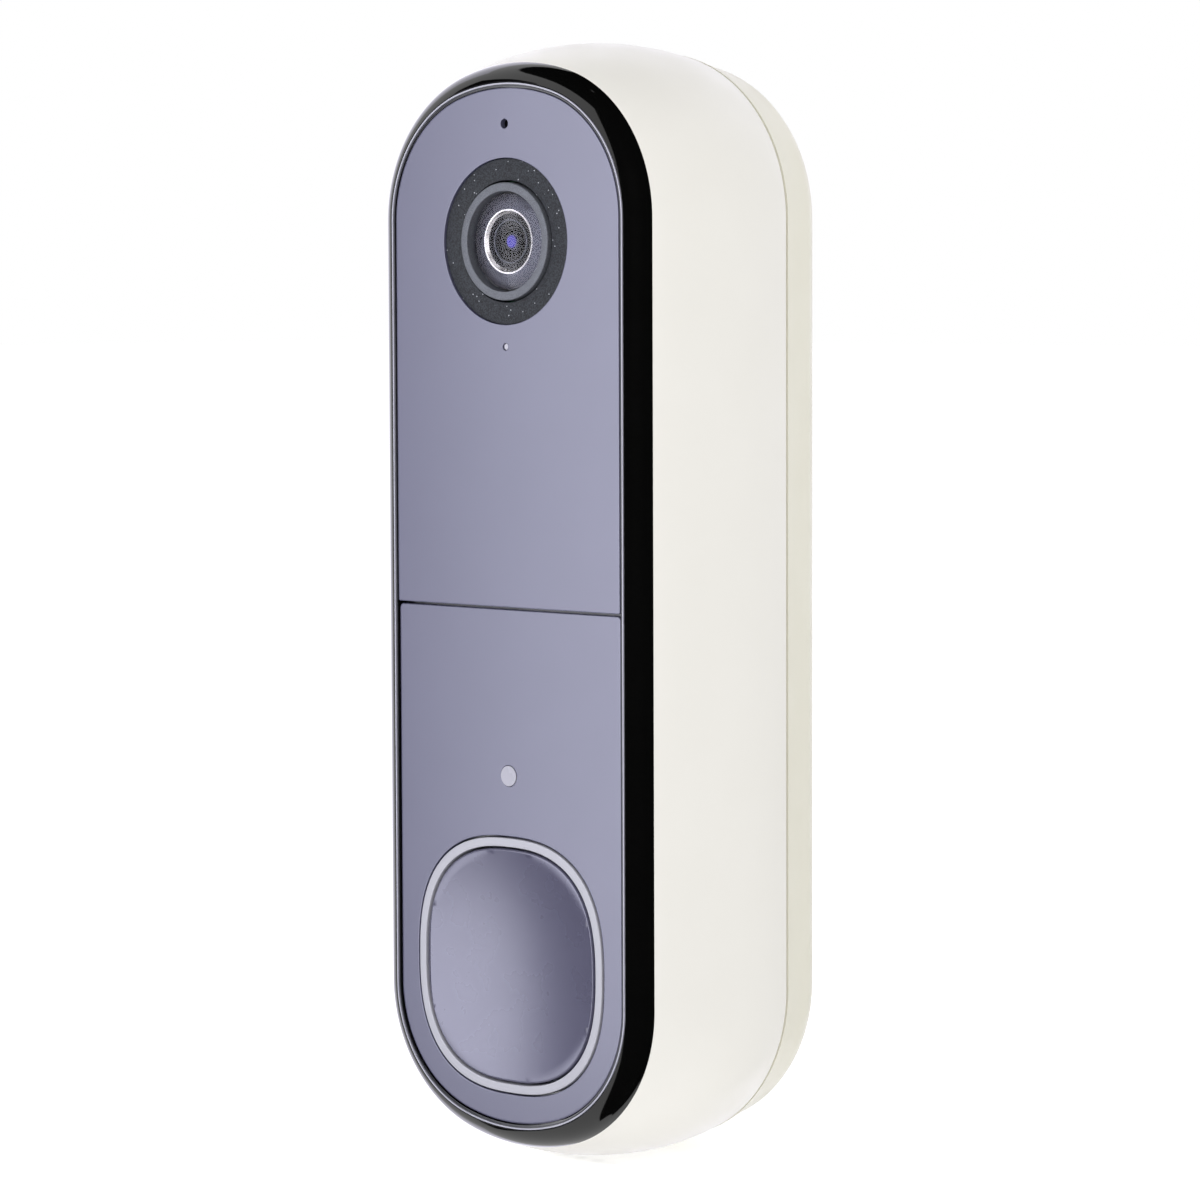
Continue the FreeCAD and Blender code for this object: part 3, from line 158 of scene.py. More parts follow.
def arc_through(start: Point, middle: Point, end: Point, steps: int) -> Section:
    """Points along the circle through three section points.

    Args:
        start: First point.
        middle: A point that the arc passes.
        end: Last point.
        steps: How many chords to divide it into.

    Returns:
        The points from start to end, both included.
    """
    (ax, ay), (bx, by), (cx, cy) = start, middle, end
    twice = 2 * (ax * (by - cy) + bx * (cy - ay) + cx * (ay - by))
    a2, b2, c2 = ax * ax + ay * ay, bx * bx + by * by, cx * cx + cy * cy
    ux = (a2 * (by - cy) + b2 * (cy - ay) + c2 * (ay - by)) / twice
    uy = (a2 * (cx - bx) + b2 * (ax - cx) + c2 * (bx - ax)) / twice
    radius = math.hypot(ax - ux, ay - uy)
    first = math.atan2(ay - uy, ax - ux)
    turn = (math.atan2(cy - uy, cx - ux) - first + math.pi) % (2 * math.pi) - math.pi
    angles = [first + turn * step / steps for step in range(steps + 1)]
    return [(ux + radius * math.cos(a), uy + radius * math.sin(a)) for a in angles]


def eased(corners: Sequence[tuple[float, float, float]], steps: int = 4) -> Section:
    """Rounds the corners of an open section.

    Args:
        corners: (grow, depth, radius) of each corner in turn.
        steps: Chords in each rounding.

    Returns:
        The section's points.
    """
    points: Section = []
    last = len(corners) - 1
    for index, (grow, depth, radius) in enumerate(corners):
        if radius <= 0 or index in (0, last):
            points.append((grow, depth))
            continue
        here = Vector((grow, depth))
        before = (Vector(corners[index - 1][:2]) - here).normalized()
        after = (Vector(corners[index + 1][:2]) - here).normalized()
        half = before.angle(after) / 2
        reach = radius / math.tan(half)
        centre = here + (before + after).normalized() * (radius / math.sin(half))
        from_centre = here + before * reach - centre
        to_centre = here + after * reach - centre
        turn = from_centre.angle_signed(to_centre)
        for step in range(steps + 1):
            spun = from_centre.copy()
            spun.rotate(Matrix.Rotation(-turn * step / steps, 2))
            points.append((centre.x + spun.x, centre.y + spun.y))
    return points


# Outlines
class Outline:
    """A closed outline in the front plane whose every point knows its outward direction."""

    def __init__(self, samples: list[Sample]) -> None:
        """Keeps (x, z, outward x, outward z) of each point, in order."""
        self.samples = samples

    @classmethod
    def from_arcs(cls, arcs: Iterable[Arc], step: float = 2.2) -> "Outline":
        """Joins arcs by straight runs.

        Args:
            arcs: (centre x, centre z, radius, first angle, last angle) of each, anticlockwise.
            step: Degrees between points.

        Returns:
            The outline.
        """
        samples: list[Sample] = []
        for x, z, radius, first, last in arcs:
            count = max(2, round(abs(last - first) / step))
            for index in range(count + 1):
                ux, uz = corner(first + (last - first) * index / count)
                point = (x + radius * ux, z + radius * uz, ux, uz)
                if not samples or not cls.same(samples[-1], point):
                    samples.append(point)
        if math.dist(samples[0][:2], samples[-1][:2]) < TOUCH:
            samples.pop()
        return cls(cls.divided(samples))

    @staticmethod
    def same(one: Sample, other: Sample) -> bool:
        """Whether two samples share their place and their direction."""
        return math.dist(one[:2], other[:2]) < TOUCH and one[2] * other[2] + one[3] * other[3] > ALONG

    @staticmethod
    def divided(samples: list[Sample], longest: float = 6.0) -> list[Sample]:
        """Adds points along the long straight runs, so that no face is a long sliver."""
        result = []
        for here, after in zip(samples, samples[1:] + samples[:1]):
            result.append(here)
            count = math.ceil(math.dist(here[:2], after[:2]) / longest)
            for index in range(1, count):
                part = index / count
                result.append(tuple(a + (b - a) * part for a, b in zip(here, after)))
        return result

    @classmethod
    def circle(cls, radius: float, x: float = 0.0, z: float = 0.0, count: int = 96) -> "Outline":
        """A circle in the front plane."""
        turns = [corner(360 * index / count) for index in range(count)]
        return cls([(x + radius * ux, z + radius * uz, ux, uz) for ux, uz in turns])

    @classmethod
    def squircle(
        cls, half_w: float, half_h: float, z: float, power: float = 2.55, count: int = 192
    ) -> "Outline":
        """A rounded square of the superellipse kind."""
        samples = []
        for index in range(count):
            ux, uz = corner(360 * (index + 0.5) / count)
            across = math.copysign(abs(ux) ** (2 / power), ux)
            up = math.copysign(abs(uz) ** (2 / power), uz)
            lean = Vector((math.copysign(abs(across) ** (power - 1), across) / half_w,
                           math.copysign(abs(up) ** (power - 1), up) / half_h)).normalized()
            samples.append((half_w * across, z + half_h * up, lean.x, lean.y))
        return cls(samples)

    def ring(self, grow: float, depth: float) -> list[Vector]:
        """The outline grown outwards and set at a depth, in metres."""
        y = CAD_BOX[0].y + depth * MM
        return [Vector(((x + grow * ux) * MM, y, (z + grow * uz) * MM)) for x, z, ux, uz in self.samples]

    def scaled(self, part: float, centre_z: float, depth: Callable[[float], float]) -> list[Vector]:
        """The outline shrunk about a centre on x = 0, with a depth for each distance from it."""
        points = []
        for x, z, _, _ in self.samples:
            across, up = x * part, (z - centre_z) * part
            y = CAD_BOX[0].y + depth(math.hypot(across, up)) * MM
            points.append(Vector((across * MM, y, (centre_z + up) * MM)))
        return points


@dataclass(frozen=True)
class FrontOutline:
    """The tall rounded outline that every shell, frame and panel of the doorbell follows."""

    belly_grow: float = 5.66
    corner_inset: float = 2.94
    crown_drop: float = 9.8

    @property
    def half_w(self) -> float:
        """Half the width of the front face."""
        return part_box("housing")[1].x / MM - self.belly_grow

    @property
    def half_h(self) -> float:
        """Half the height of the front face."""
        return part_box("housing")[1].z / MM - self.belly_grow

    @property
    def lean(self) -> float:
        """Degrees from straight up at which the corner arc meets the crown arc."""
        return math.degrees(math.atan2(self.corner_inset, self.crown_drop))

    @property
    def corner_r(self) -> float:
        """Radius of the corner arcs."""
        return self.half_w - self.corner_inset

    @property
    def crown_r(self) -> float:
        """Radius of the flatter arcs at the top and bottom."""
        return self.corner_r + math.hypot(self.corner_inset, self.crown_drop)

    @property
    def corner_z(self) -> float:
        """Height of the corner arcs' centres."""
        return self.half_h - self.crown_r + self.crown_drop

    def upper_arcs(self, grow: float) -> list[Arc]:
        """The three arcs round the top, from the right side to the left."""
        join = 90 - self.lean
        return [
            (self.corner_inset, self.corner_z, self.corner_r + grow, 0, join),
            (0, self.corner_z - self.crown_drop, self.crown_r + grow, join, 180 - join),
            (-self.corner_inset, self.corner_z, self.corner_r + grow, 180 - join, 180),
        ]

    def lower_arcs(self, grow: float) -> list[Arc]:
        """The three arcs round the bottom, from the left side to the right."""
        return [(-x, -z, radius, first + 180, last + 180)
                for x, z, radius, first, last in self.upper_arcs(grow)]

    def whole(self) -> Outline:
        """The closed outline."""
        return Outline.from_arcs(self.upper_arcs(0) + self.lower_arcs(0))

    def part(self, grow: float, cut: float, radius: float, upper: bool) -> Outline:
        """The outline above or below a level cut.

        Args:
            grow: How far it stands outside the front outline.
            cut: Height of the cut.
            radius: Radius of its two square corners.
            upper: True for the piece above the cut.

        Returns:
            The closed outline.
        """
        side = self.half_w + grow - radius
        if upper:
            ends = [(-side, cut + radius, radius, 180, 270), (side, cut + radius, radius, 270, 360)]
            return Outline.from_arcs(self.upper_arcs(grow) + ends)
        ends = [(side, cut - radius, radius, 0, 90), (-side, cut - radius, radius, 90, 180)]
        return Outline.from_arcs(ends + self.lower_arcs(grow))


# Mesh building
class Body(Enum):
    """The bodies that new pieces ride on."""

    PLATE = "wall_plate"
    UNIT = "doorbell_unit"
    BUTTON = "call_button"


class Solid:
    """Gathers loops of points into one closed mesh."""

    def __init__(self) -> None:
        """Starts with no faces."""
        self.mesh = bmesh.new()

    def loop(self, points: Iterable[Vector]) -> Loop:
        """Adds a loop of vertices."""
        return [self.mesh.verts.new(point) for point in points]

    def skin(self, first: Loop, second: Loop) -> None:
        """Joins two loops of the same count by a band of smooth faces."""
        count = len(first)
        for index in range(count):
            after = (index + 1) % count
            face = self.mesh.faces.new((first[index], first[after], second[after], second[index]))
            face.smooth = True

    def loft(self, outline: Outline, section: Section) -> tuple[Loop, Loop]:
        """Carries a section round an outline.

        Args:
            outline: The outline to follow.
            section: (grow, depth) points in turn.

        Returns:
            The first and the last loop.
        """
        loops = [self.loop(outline.ring(grow, depth)) for grow, depth in section]
        for here, after in zip(loops, loops[1:]):
            self.skin(here, after)
        return loops[0], loops[-1]

    def fill(self, *loops: Loop) -> None:
        """Closes a flat area between an outer loop and any holes in it."""
        edges = []
        for loop in loops:
            for here, after in zip(loop, loop[1:] + loop[:1]):
                edges.append(self.mesh.edges.get((here, after)) or self.mesh.edges.new((here, after)))
        bmesh.ops.triangle_fill(self.mesh, use_beauty=True, use_dissolve=False, edges=edges)

    def pole(self, loop: Loop, centre: Vector) -> None:
        """Closes a loop by a fan round a centre point."""
        tip = self.mesh.verts.new(centre)
        for here, after in zip(loop, loop[1:] + loop[:1]):
            self.mesh.faces.new((here, after, tip)).smooth = True

    def plate(self, outer: tuple[Outline, Section], holes: Sequence[tuple[Outline, Section]]) -> None:
        """A flat plate with holes: each section runs from its front loop to its back loop."""
        edges = [self.loft(outline, section) for outline, section in [outer, *holes]]
        self.fill(*[front for front, _ in edges])
        self.fill(*[back for _, back in edges])

    def piece(self, name: str, crease: float = CREASE) -> Object:
        """Turns the faces to a finished object with outward normals.

        Args:
            name: The object's name.
            crease: Edges that turn by more degrees than this stay sharp.

        Returns:
            The object, in the scene.
        """
        bmesh.ops.remove_doubles(self.mesh, verts=self.mesh.verts, dist=1e-7)
        bmesh.ops.recalc_face_normals(self.mesh, faces=self.mesh.faces)
        data = bpy.data.meshes.new(name)
        self.mesh.to_mesh(data)
        self.mesh.free()
        data.set_sharp_from_angle(angle=math.radians(crease))
        return hang(name, data)


def carried(name: str, outline: Outline, section: Section, crease: float = CREASE) -> Object:
    """A closed section carried round an outline.

    Args:
        name: The piece's name.
        outline: The outline to follow.
        section: (grow, depth) points in turn; the last joins the first.
        crease: Edges that turn by more degrees than this stay sharp.

    Returns:
        The piece.
    """
    solid = Solid()
    start, end = solid.loft(outline, section)
    solid.skin(end, start)
    return solid.piece(name, crease)


def dress(made: Object, finish: "Finish", body: Body, nodes: Sequence[str] = ()) -> None:
    """Gives a finished piece its material, its body and the CAD nodes that it stands for.

    Args:
        made: The piece.
        finish: What it is made of.
        body: The body that it rides on.
        nodes: CAD nodes that it replaces.
    """
    made.data.materials.clear()
    made.data.materials.append(finish.material())
    if nodes:
        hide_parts(*nodes)
    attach(made, body.value)
    log.info("%s: %d faces on %s", made.name, len(made.data.polygons), body.value)


def carve(made: Object, cutter: Object) -> None:
    """Cuts one object's shape out of a piece and removes the cutter."""
    step = made.modifiers.new("cut", "BOOLEAN")
    step.operation = "DIFFERENCE"
    step.solver = "EXACT"
    step.object = cutter
    settle(made)
    bpy.data.objects.remove(cutter, do_unlink=True)


def settle(made: Object) -> None:
    """Turns a piece with its modifiers into a plain mesh with none."""
    bpy.context.view_layer.update()
    shape = made.evaluated_get(bpy.context.evaluated_depsgraph_get())
    data = bpy.data.meshes.new_from_object(shape)
    made.modifiers.clear()
    made.data = data
    data.name = made.name


def merged_copy(node: str, name: str, crease: float = 30.0) -> Object:
    """A smooth-shaded copy of a CAD node, with its loose triangles joined.

    Args:
        node: The CAD node.
        name: The new piece's name.
        crease: Edges that turn by more degrees than this stay sharp.

    Returns:
        The piece.
    """
    solid = Solid()
    solid.mesh.from_mesh(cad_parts[node].data)
    solid.mesh.transform(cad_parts[node].matrix_world)
    bmesh.ops.remove_doubles(solid.mesh, verts=solid.mesh.verts, dist=1e-6)
    for face in solid.mesh.faces:
        face.smooth = True
    return solid.piece(name, crease)


# Finishes
class Finish:
    """A surface finish that makes its material once and hands it out again."""

    name: str

    def material(self) -> bpy.types.Material:
        """The finish's material."""
        made = bpy.data.materials.get(self.name)
        if made is None:
            made = blank(self.name)
            self.build(made.node_tree)
        return made

    def build(self, tree: Tree) -> None:
        """Fills the material's node tree."""
        raise NotImplementedError

    @staticmethod
    def place(tree: Tree) -> Socket:
        """Object coordinates, in metres."""
        return add_node(tree, "ShaderNodeTexCoord").outputs["Object"]

    @staticmethod
    def noise(tree: Tree, size_mm: float, detail: float = 3.0) -> Socket:
        """A cloudy pattern whose lumps are about this many millimetres across."""
        inputs = {"Scale": 1 / (size_mm * MM), "Detail": detail}
        node = add_node(tree, "ShaderNodeTexNoise", inputs=inputs, links={"Vector": Finish.place(tree)})
        return node.outputs[0]

    @staticmethod
    def range(tree: Tree, source: Socket, low: float, high: float,
              start: float = 0.2, end: float = 0.8) -> Socket:
        """Carries a pattern's values smoothly from one range to another."""
        inputs = {"From Min": start, "From Max": end, "To Min": low, "To Max": high}
        settings = {"interpolation_type": "SMOOTHSTEP"}
        return add_node(tree, "ShaderNodeMapRange", settings, inputs, {"Value": source}).outputs[0]

    @staticmethod
    def blend(tree: Tree, factor: Socket, low: Any, high: Any) -> Socket:
        """Mixes two colours, given as hex or as sockets, by a pattern."""
        node = add_node(tree, "ShaderNodeMix", {"data_type": "RGBA"}, links={0: factor})
        for index, colour in ((6, low), (7, high)):
            if isinstance(colour, str):
                node.inputs[index].default_value = linear(colour)
            else:
                tree.links.new(colour, node.inputs[index])
        return node.outputs[2]

    @staticmethod
    def bump(tree: Tree, height: Socket, depth_mm: float) -> Socket:
        """A relief of this many millimetres."""
        inputs = {"Strength": 1.0, "Distance": depth_mm * MM}
        return add_node(tree, "ShaderNodeBump", inputs=inputs, links={"Height": height}).outputs[0]

    @staticmethod
    def close(tree: Tree, inputs: dict[str, Any], links: dict[str, Socket]) -> None:
        """Ends the tree in a principled shader with these values and links."""
        shader = add_node(tree, "ShaderNodeBsdfPrincipled", inputs=inputs, links=links)
        add_node(tree, "ShaderNodeOutputMaterial", links={"Surface": shader.outputs[0]})


@dataclass(frozen=True)
class MouldedPlastic(Finish):
    """Injection-moulded plastic: faint cloudiness in the colour and a spark-eroded mould grain."""

    name: str
    dark: str
    light: str
    roughness: float
    grain_mm: float = 0.35
    grain_depth_mm: float = 0.004
    cloud_mm: float = 14.0
    ior: float = 1.5
    coat: float = 0.0
    coat_roughness: float = 0.1
    specular: float = 0.5
    sheen: str = "FFFFFF"
    swing: float = 0.05

    def build(self, tree: Tree) -> None:
        """Clouds for the colour, wear for the gloss, fine noise for the grain."""
        clouds = self.noise(tree, self.cloud_mm)
        grain = self.noise(tree, self.grain_mm, 1.5)
        wear = self.noise(tree, self.cloud_mm / 3)
        sheen = linear(self.sheen)
        inputs = {"IOR": self.ior, "Coat Weight": self.coat, "Coat Roughness": self.coat_roughness,
                  "Specular IOR Level": self.specular, "Specular Tint": sheen, "Coat Tint": sheen}
        links = {
            "Base Color": self.blend(tree, clouds, self.dark, self.light),
            "Roughness": self.range(tree, wear, self.roughness - self.swing,
                                    self.roughness + self.swing),
            "Normal": self.bump(tree, grain, self.grain_depth_mm),
        }
        self.close(tree, inputs, links)


@dataclass(frozen=True)
class SpeckledPlastic(Finish):
    """Sparked infrared-clear plastic: dark, dry and finely pitted, with a few pale flecks."""

    name: str
    dark: str
    light: str
    fleck: str
    roughness: float
    grain_mm: float
    grain_depth_mm: float
    fleck_mm: float
    fleck_share: float
    fleck_reach: float = 0.2

    def build(self, tree: Tree) -> None:
        """Pits from noise, flecks from the centres of small scattered cells."""
        grain = self.noise(tree, self.grain_mm, 2.0)
        cells = add_node(tree, "ShaderNodeTexVoronoi", inputs={"Scale": 1 / (self.fleck_mm * MM)},
                         links={"Vector": self.place(tree)})
        tone = add_node(tree, "ShaderNodeSeparateColor", links={0: cells.outputs["Color"]})
        limits = ((cells.outputs["Distance"], self.fleck_reach), (tone.outputs[0], self.fleck_share))
        near, chosen = [
            add_node(tree, "ShaderNodeMath", {"operation": "LESS_THAN"}, {1: limit}, {0: value})
            for value, limit in limits
        ]
        fleck = add_node(tree, "ShaderNodeMath", {"operation": "MULTIPLY"},
                         links={0: near.outputs[0], 1: chosen.outputs[0]})
        base = self.blend(tree, self.range(tree, grain, 0.0, 1.0, 0.38, 0.62), self.dark, self.light)
        links = {
            "Base Color": self.blend(tree, fleck.outputs[0], base, self.fleck),
            "Normal": self.bump(tree, grain, self.grain_depth_mm),
        }
        self.close(tree, {"Roughness": self.roughness, "IOR": 1.55, "Specular IOR Level": 0.3}, links)


@dataclass(frozen=True)
class Metal(Finish):
    """Plated, blasted or brushed metal."""

    name: str
    dark: str
    light: str
    roughness: float
    grain_mm: float = 0.15
    grain_depth_mm: float = 0.003
    metallic: float = 1.0
    swing: float = 0.06

    def build(self, tree: Tree) -> None:
        """Fine grain that varies both the tone and the gloss."""
        grain = self.noise(tree, self.grain_mm, 2.0)
        wear = self.noise(tree, self.grain_mm * 6)
        links = {
            "Base Color": self.blend(tree, self.range(tree, grain, 0.0, 1.0), self.dark, self.light),
            "Roughness": self.range(tree, wear, self.roughness - self.swing,
                                    self.roughness + self.swing),
            "Normal": self.bump(tree, grain, self.grain_depth_mm),
        }
        self.close(tree, {"Metallic": self.metallic}, links)


@dataclass(frozen=True)
class CoatedGlass(Finish):
    """Optical glass with a thin anti-reflection film."""

    name: str
    tint: str
    film_nm: float = 0.0
    film_ior: float = 1.38
    roughness: float = 0.01
    ior: float = 1.52
    specular: float = 0.5

    def build(self, tree: Tree) -> None:
        """Clear glass; a trace of dust dulls its gloss in patches."""
        dust = self.noise(tree, 1.6)
        links = {"Roughness": self.range(tree, dust, self.roughness, self.roughness + 0.05)}
        inputs = {"Base Color": linear(self.tint), "Transmission Weight": 1.0, "IOR": self.ior,
                  "Specular IOR Level": self.specular, "Thin Film Thickness": self.film_nm,
                  "Thin Film IOR": self.film_ior}
        self.close(tree, inputs, links)


@dataclass(frozen=True)
class LensPupil(Finish):
    """Coated glass over a black barrel, with painted reflections: rings of colour about the camera's
    axis stand in for the violet glint of the coating and the rings of the elements behind it.
    """

    name: str
    axis_z: float
    painted_reflection_stops: tuple[tuple[float, str], ...]
    reach_mm: float
    roughness: float = 0.06
    ior: float = 1.25

    def build(self, tree: Tree) -> None:
        """Colour by distance from the axis: painted reflections of the coating and of the elements
        behind it.
        """
        centre = (0.0, 0.0, self.axis_z * MM)
        centred = add_node(tree, "ShaderNodeVectorMath", {"operation": "SUBTRACT"}, {1: centre},
                           {0: self.place(tree)})
        flat = add_node(tree, "ShaderNodeVectorMath", {"operation": "MULTIPLY"}, {1: (1.0, 0.0, 1.0)},
                        {0: centred.outputs[0]})
        length = add_node(tree, "ShaderNodeVectorMath", {"operation": "LENGTH"},
                          links={0: flat.outputs[0]})
        share = self.range(tree, length.outputs["Value"], 0.0, 1.0, 0.0, self.reach_mm * MM)
        ramp = add_node(tree, "ShaderNodeValToRGB", links={0: share})
        marks = ramp.color_ramp.elements
        while len(marks) < len(self.painted_reflection_stops):
            marks.new(0.5)
        for mark, (place, tone) in zip(marks, self.painted_reflection_stops):
            mark.position = place
            mark.color = linear(tone)
        dust = self.range(tree, self.noise(tree, 0.8), self.roughness, self.roughness + 0.08)
        self.close(tree, {"IOR": self.ior}, {"Base Color": ramp.outputs[0], "Roughness": dust})


@dataclass(frozen=True)
class BoardMask(Finish):
    """Green solder mask over etched copper: straight tracks with lighter edges."""

    name: str
    mask: str
    track: str
    pitch_mm: float = 0.9

    def build(self, tree: Tree) -> None:
        """Tracks run both ways in blocks, as a router lays them."""
        bricks = add_node(tree, "ShaderNodeTexVoronoi", {"feature": "F1", "distance": "MANHATTAN"},
                          {"Scale": 1 / (6 * self.pitch_mm * MM)}, {"Vector": self.place(tree)})
        pick = add_node(tree, "ShaderNodeSeparateColor", links={0: bricks.outputs["Color"]})
        waves = []
        for way in ("X", "Z"):
            wave = add_node(tree, "ShaderNodeTexWave", {"wave_type": "BANDS", "bands_direction": way},
                            {"Scale": 1 / (self.pitch_mm * MM) / math.tau * 2},
                            {"Vector": self.place(tree)})
            waves.append(wave.outputs[1])
        side = self.range(tree, pick.outputs[0], 0, 1, 0.49, 0.51)
        either = add_node(tree, "ShaderNodeMix", links={0: side, 2: waves[0], 3: waves[1]})
        tracks = self.range(tree, either.outputs[0], 0.0, 1.0, 0.55, 0.6)
        links = {"Base Color": self.blend(tree, tracks, self.mask, self.track),
                 "Normal": self.bump(tree, tracks, 0.03)}
        self.close(tree, {"Roughness": 0.32, "IOR": 1.5}, links)


class Finishes:
    """The doorbell's finishes, each named for what the real piece is made of.

    The numbers after a moulding's two colours are its roughness, its grain and the grain's depth.
    """

    # Moulded and satin: soft light, no mirror image, and barely warm
    shell = MouldedPlastic("satin_white_abs", "E6E4DE", "EAE8E3", 0.42, grain_depth_mm=0.003)
    # The same resin, a little yellowed
    plate = MouldedPlastic("satin_ivory_abs", "DEDBCC", "E3E1D4", 0.45, grain_depth_mm=0.003)
    # Polished mould: deep black that mirrors only strong light
    band = MouldedPlastic("polished_black_polycarbonate", "050505", "080808", 0.06, 3.0, 0.0006,
                          ior=1.58, swing=0.02)
    # Satin silver-lavender on the thin line round the panels: a painted highlight along the rim's edge
    trim = MouldedPlastic("rim_edge_painted_highlight", "9C9CAA", "A8A8B6", 0.3, 0.2, 0.002, ior=1.6)
    # A darker grey of the same kind on the lower land
    dull_trim = MouldedPlastic("dull_grey_paint", "30303A", "3A3A44", 0.4, 0.2, 0.002)
    # Grey-lavender metallic paint under a satin lacquer: takes the softbox as a broad sheen
    panel = MouldedPlastic("satin_lavender_lacquer", "51515F", "575765", 0.3, 0.25, 0.0012,
                           cloud_mm=18.0, ior=1.6, coat=1.0, coat_roughness=0.2, sheen="EFEFFF",
                           swing=0.015)
    cap = MouldedPlastic("satin_lavender_lacquer_cap", "4D4C5A", "53525F", 0.28, 0.25, 0.0012,
                         cloud_mm=12.0, ior=1.6, coat=1.0, coat_roughness=0.2, sheen="EFEFFF",
                         swing=0.015)
    # Dry spark-eroded texture with pale flecks
    surround = SpeckledPlastic("sparked_dark_polycarbonate", "181A20", "2E3138", "C4C8D2", 0.62, 0.16,
                               0.014, 0.34, 0.08)
    # Bead-blasted and anodised: sparkles without a clear reflection
    ring = Metal("bead_blasted_grey_aluminium", "4C4E56", "6E7179", 0.5, 0.14, 0.006, metallic=0.35)
    # Satin black hub behind the cover glass: light sweeps over the side that leans to it
    mask = MouldedPlastic("satin_black_lens_mask", "323138", "3E3C45", 0.3, 0.5, 0.002, cloud_mm=3.0,
                          sheen="E6ECFF")
    # Black anodised steps that catch a little light on their edges
    throat = MouldedPlastic("black_anodised_lens_cell", "08080A", "0E0E12", 0.2, 0.4, 0.001,
                            specular=0.2)
    bevel = Metal("turned_bright_aluminium", "A9A6A2", "C9C6C2", 0.25, 0.1, 0.001)
    dome = CoatedGlass("coated_cover_glass", "F4F4FA", ior=1.2, specular=0.12)
    lens = CoatedGlass("coated_lens_glass", "E6E2F6", film_nm=140.0)
    filter = CoatedGlass("infrared_cut_glass", "CFE6E8", film_nm=240.0)
    guide = MouldedPlastic("milky_light_guide_polycarbonate", "A3A3AD", "ABABB5", 0.34, 0.4, 0.002)
    pin = MouldedPlastic("milky_clear_polycarbonate", "B2B1BE", "BEBDCA", 0.18, 0.4, 0.002)
    # Translucent polyethylene window: duller than the clear pin beside it
    window = MouldedPlastic("milky_polyethylene_window", "9695A2", "A2A1AE", 0.25, 0.4, 0.002)
    black = MouldedPlastic("black_glass_filled_nylon", "141416", "1D1D20", 0.5, 0.3, 0.006)
    chassis = MouldedPlastic("dark_grey_moulded_abs", "4A4A4D", "515154", 0.5, 0.4, 0.006)
    board = BoardMask("green_solder_mask", "0C3A22", "1C5A36")
    chip = MouldedPlastic("moulded_chip_epoxy", "1A1A1B", "232325", 0.55, 0.12, 0.004)
    steel = Metal("zinc_plated_steel", "9A9A9C", "BDBDBF", 0.3)
    tin = Metal("tinned_steel_sheet", "A6A6A2", "C4C4C0", 0.36, 0.3)
    gold = Metal("gold_plated_copper", "B8903C", "DDB45C", 0.24)
    seal = MouldedPlastic("black_silicone_rubber", "141414", "1B1B1B", 0.7, 0.5, 0.01)
    dome_rubber = MouldedPlastic("milky_silicone_rubber", "BDBDB8", "CACAC4", 0.5, 0.6, 0.008)
    flex = MouldedPlastic("amber_polyimide_film", "8A4A12", "A65F1C", 0.28, 1.2, 0.004)
    wrap = MouldedPlastic("blue_shrink_sleeve", "1B4C8C", "225A9E", 0.3, 2.0, 0.02)
    phosphor = MouldedPlastic("phosphor_filled_silicone", "E2D89A", "EAE2B0", 0.35, 0.1, 0.002)
    paper = MouldedPlastic("pressed_paper_fibre", "1E1D1C", "2C2B29", 0.85, 0.2, 0.03)


# Repeated pieces
class RepeatTree:
    """A geometry node tree under construction, with named inputs for its sizes."""

    def __init__(self, name: str) -> None:
        """Starts an empty tree with a geometry input and output."""
        self.tree = bpy.data.node_groups.new(name, "GeometryNodeTree")
        self.tree.interface.new_socket("Places", in_out="INPUT", socket_type="NodeSocketGeometry")
        self.tree.interface.new_socket("Geometry", in_out="OUTPUT", socket_type="NodeSocketGeometry")
        self.sizes: dict[str, str] = {}
        self.start = self.tree.nodes.new("NodeGroupInput")

    def size(self, name: str, kind: str = "NodeSocketFloat") -> Socket:
        """Adds a named input and returns its socket."""
        socket = self.tree.interface.new_socket(name, in_out="INPUT", socket_type=kind)
        self.sizes[name] = socket.identifier
        return self.start.outputs[name]

    def end(self, shape: Socket, material: Socket) -> None:
        """Sets the shape on every place, then realises the instances and sets the material."""
        spread = add_node(self.tree, "GeometryNodeInstanceOnPoints",
                          links={"Points": self.start.outputs["Places"], "Instance": shape})
        real = add_node(self.tree, "GeometryNodeRealizeInstances", links={0: spread.outputs[0]})
        dressed = add_node(self.tree, "GeometryNodeSetMaterial",
                           links={"Geometry": real.outputs[0], "Material": material})
        add_node(self.tree, "NodeGroupOutput", links={0: dressed.outputs[0]})

    def make(self, name: str, places: Sequence[Vector], values: dict[str, Any]) -> Object:
        """Runs the tree on a set of places and keeps the result as a plain mesh.

        Args:
            name: The new object's name.
            places: Where the copies stand, in metres.
            values: A value for each named input.

        Returns:
            The object.
        """
        points = bpy.data.meshes.new(name)
        points.from_pydata([tuple(place) for place in places], [], [])
        made = hang(name, points)
        step = made.modifiers.new("repeat", "NODES")
        step.node_group = self.tree
        for label, value in values.items():
            step[self.sizes[label]] = value
        settle(made)
        return made


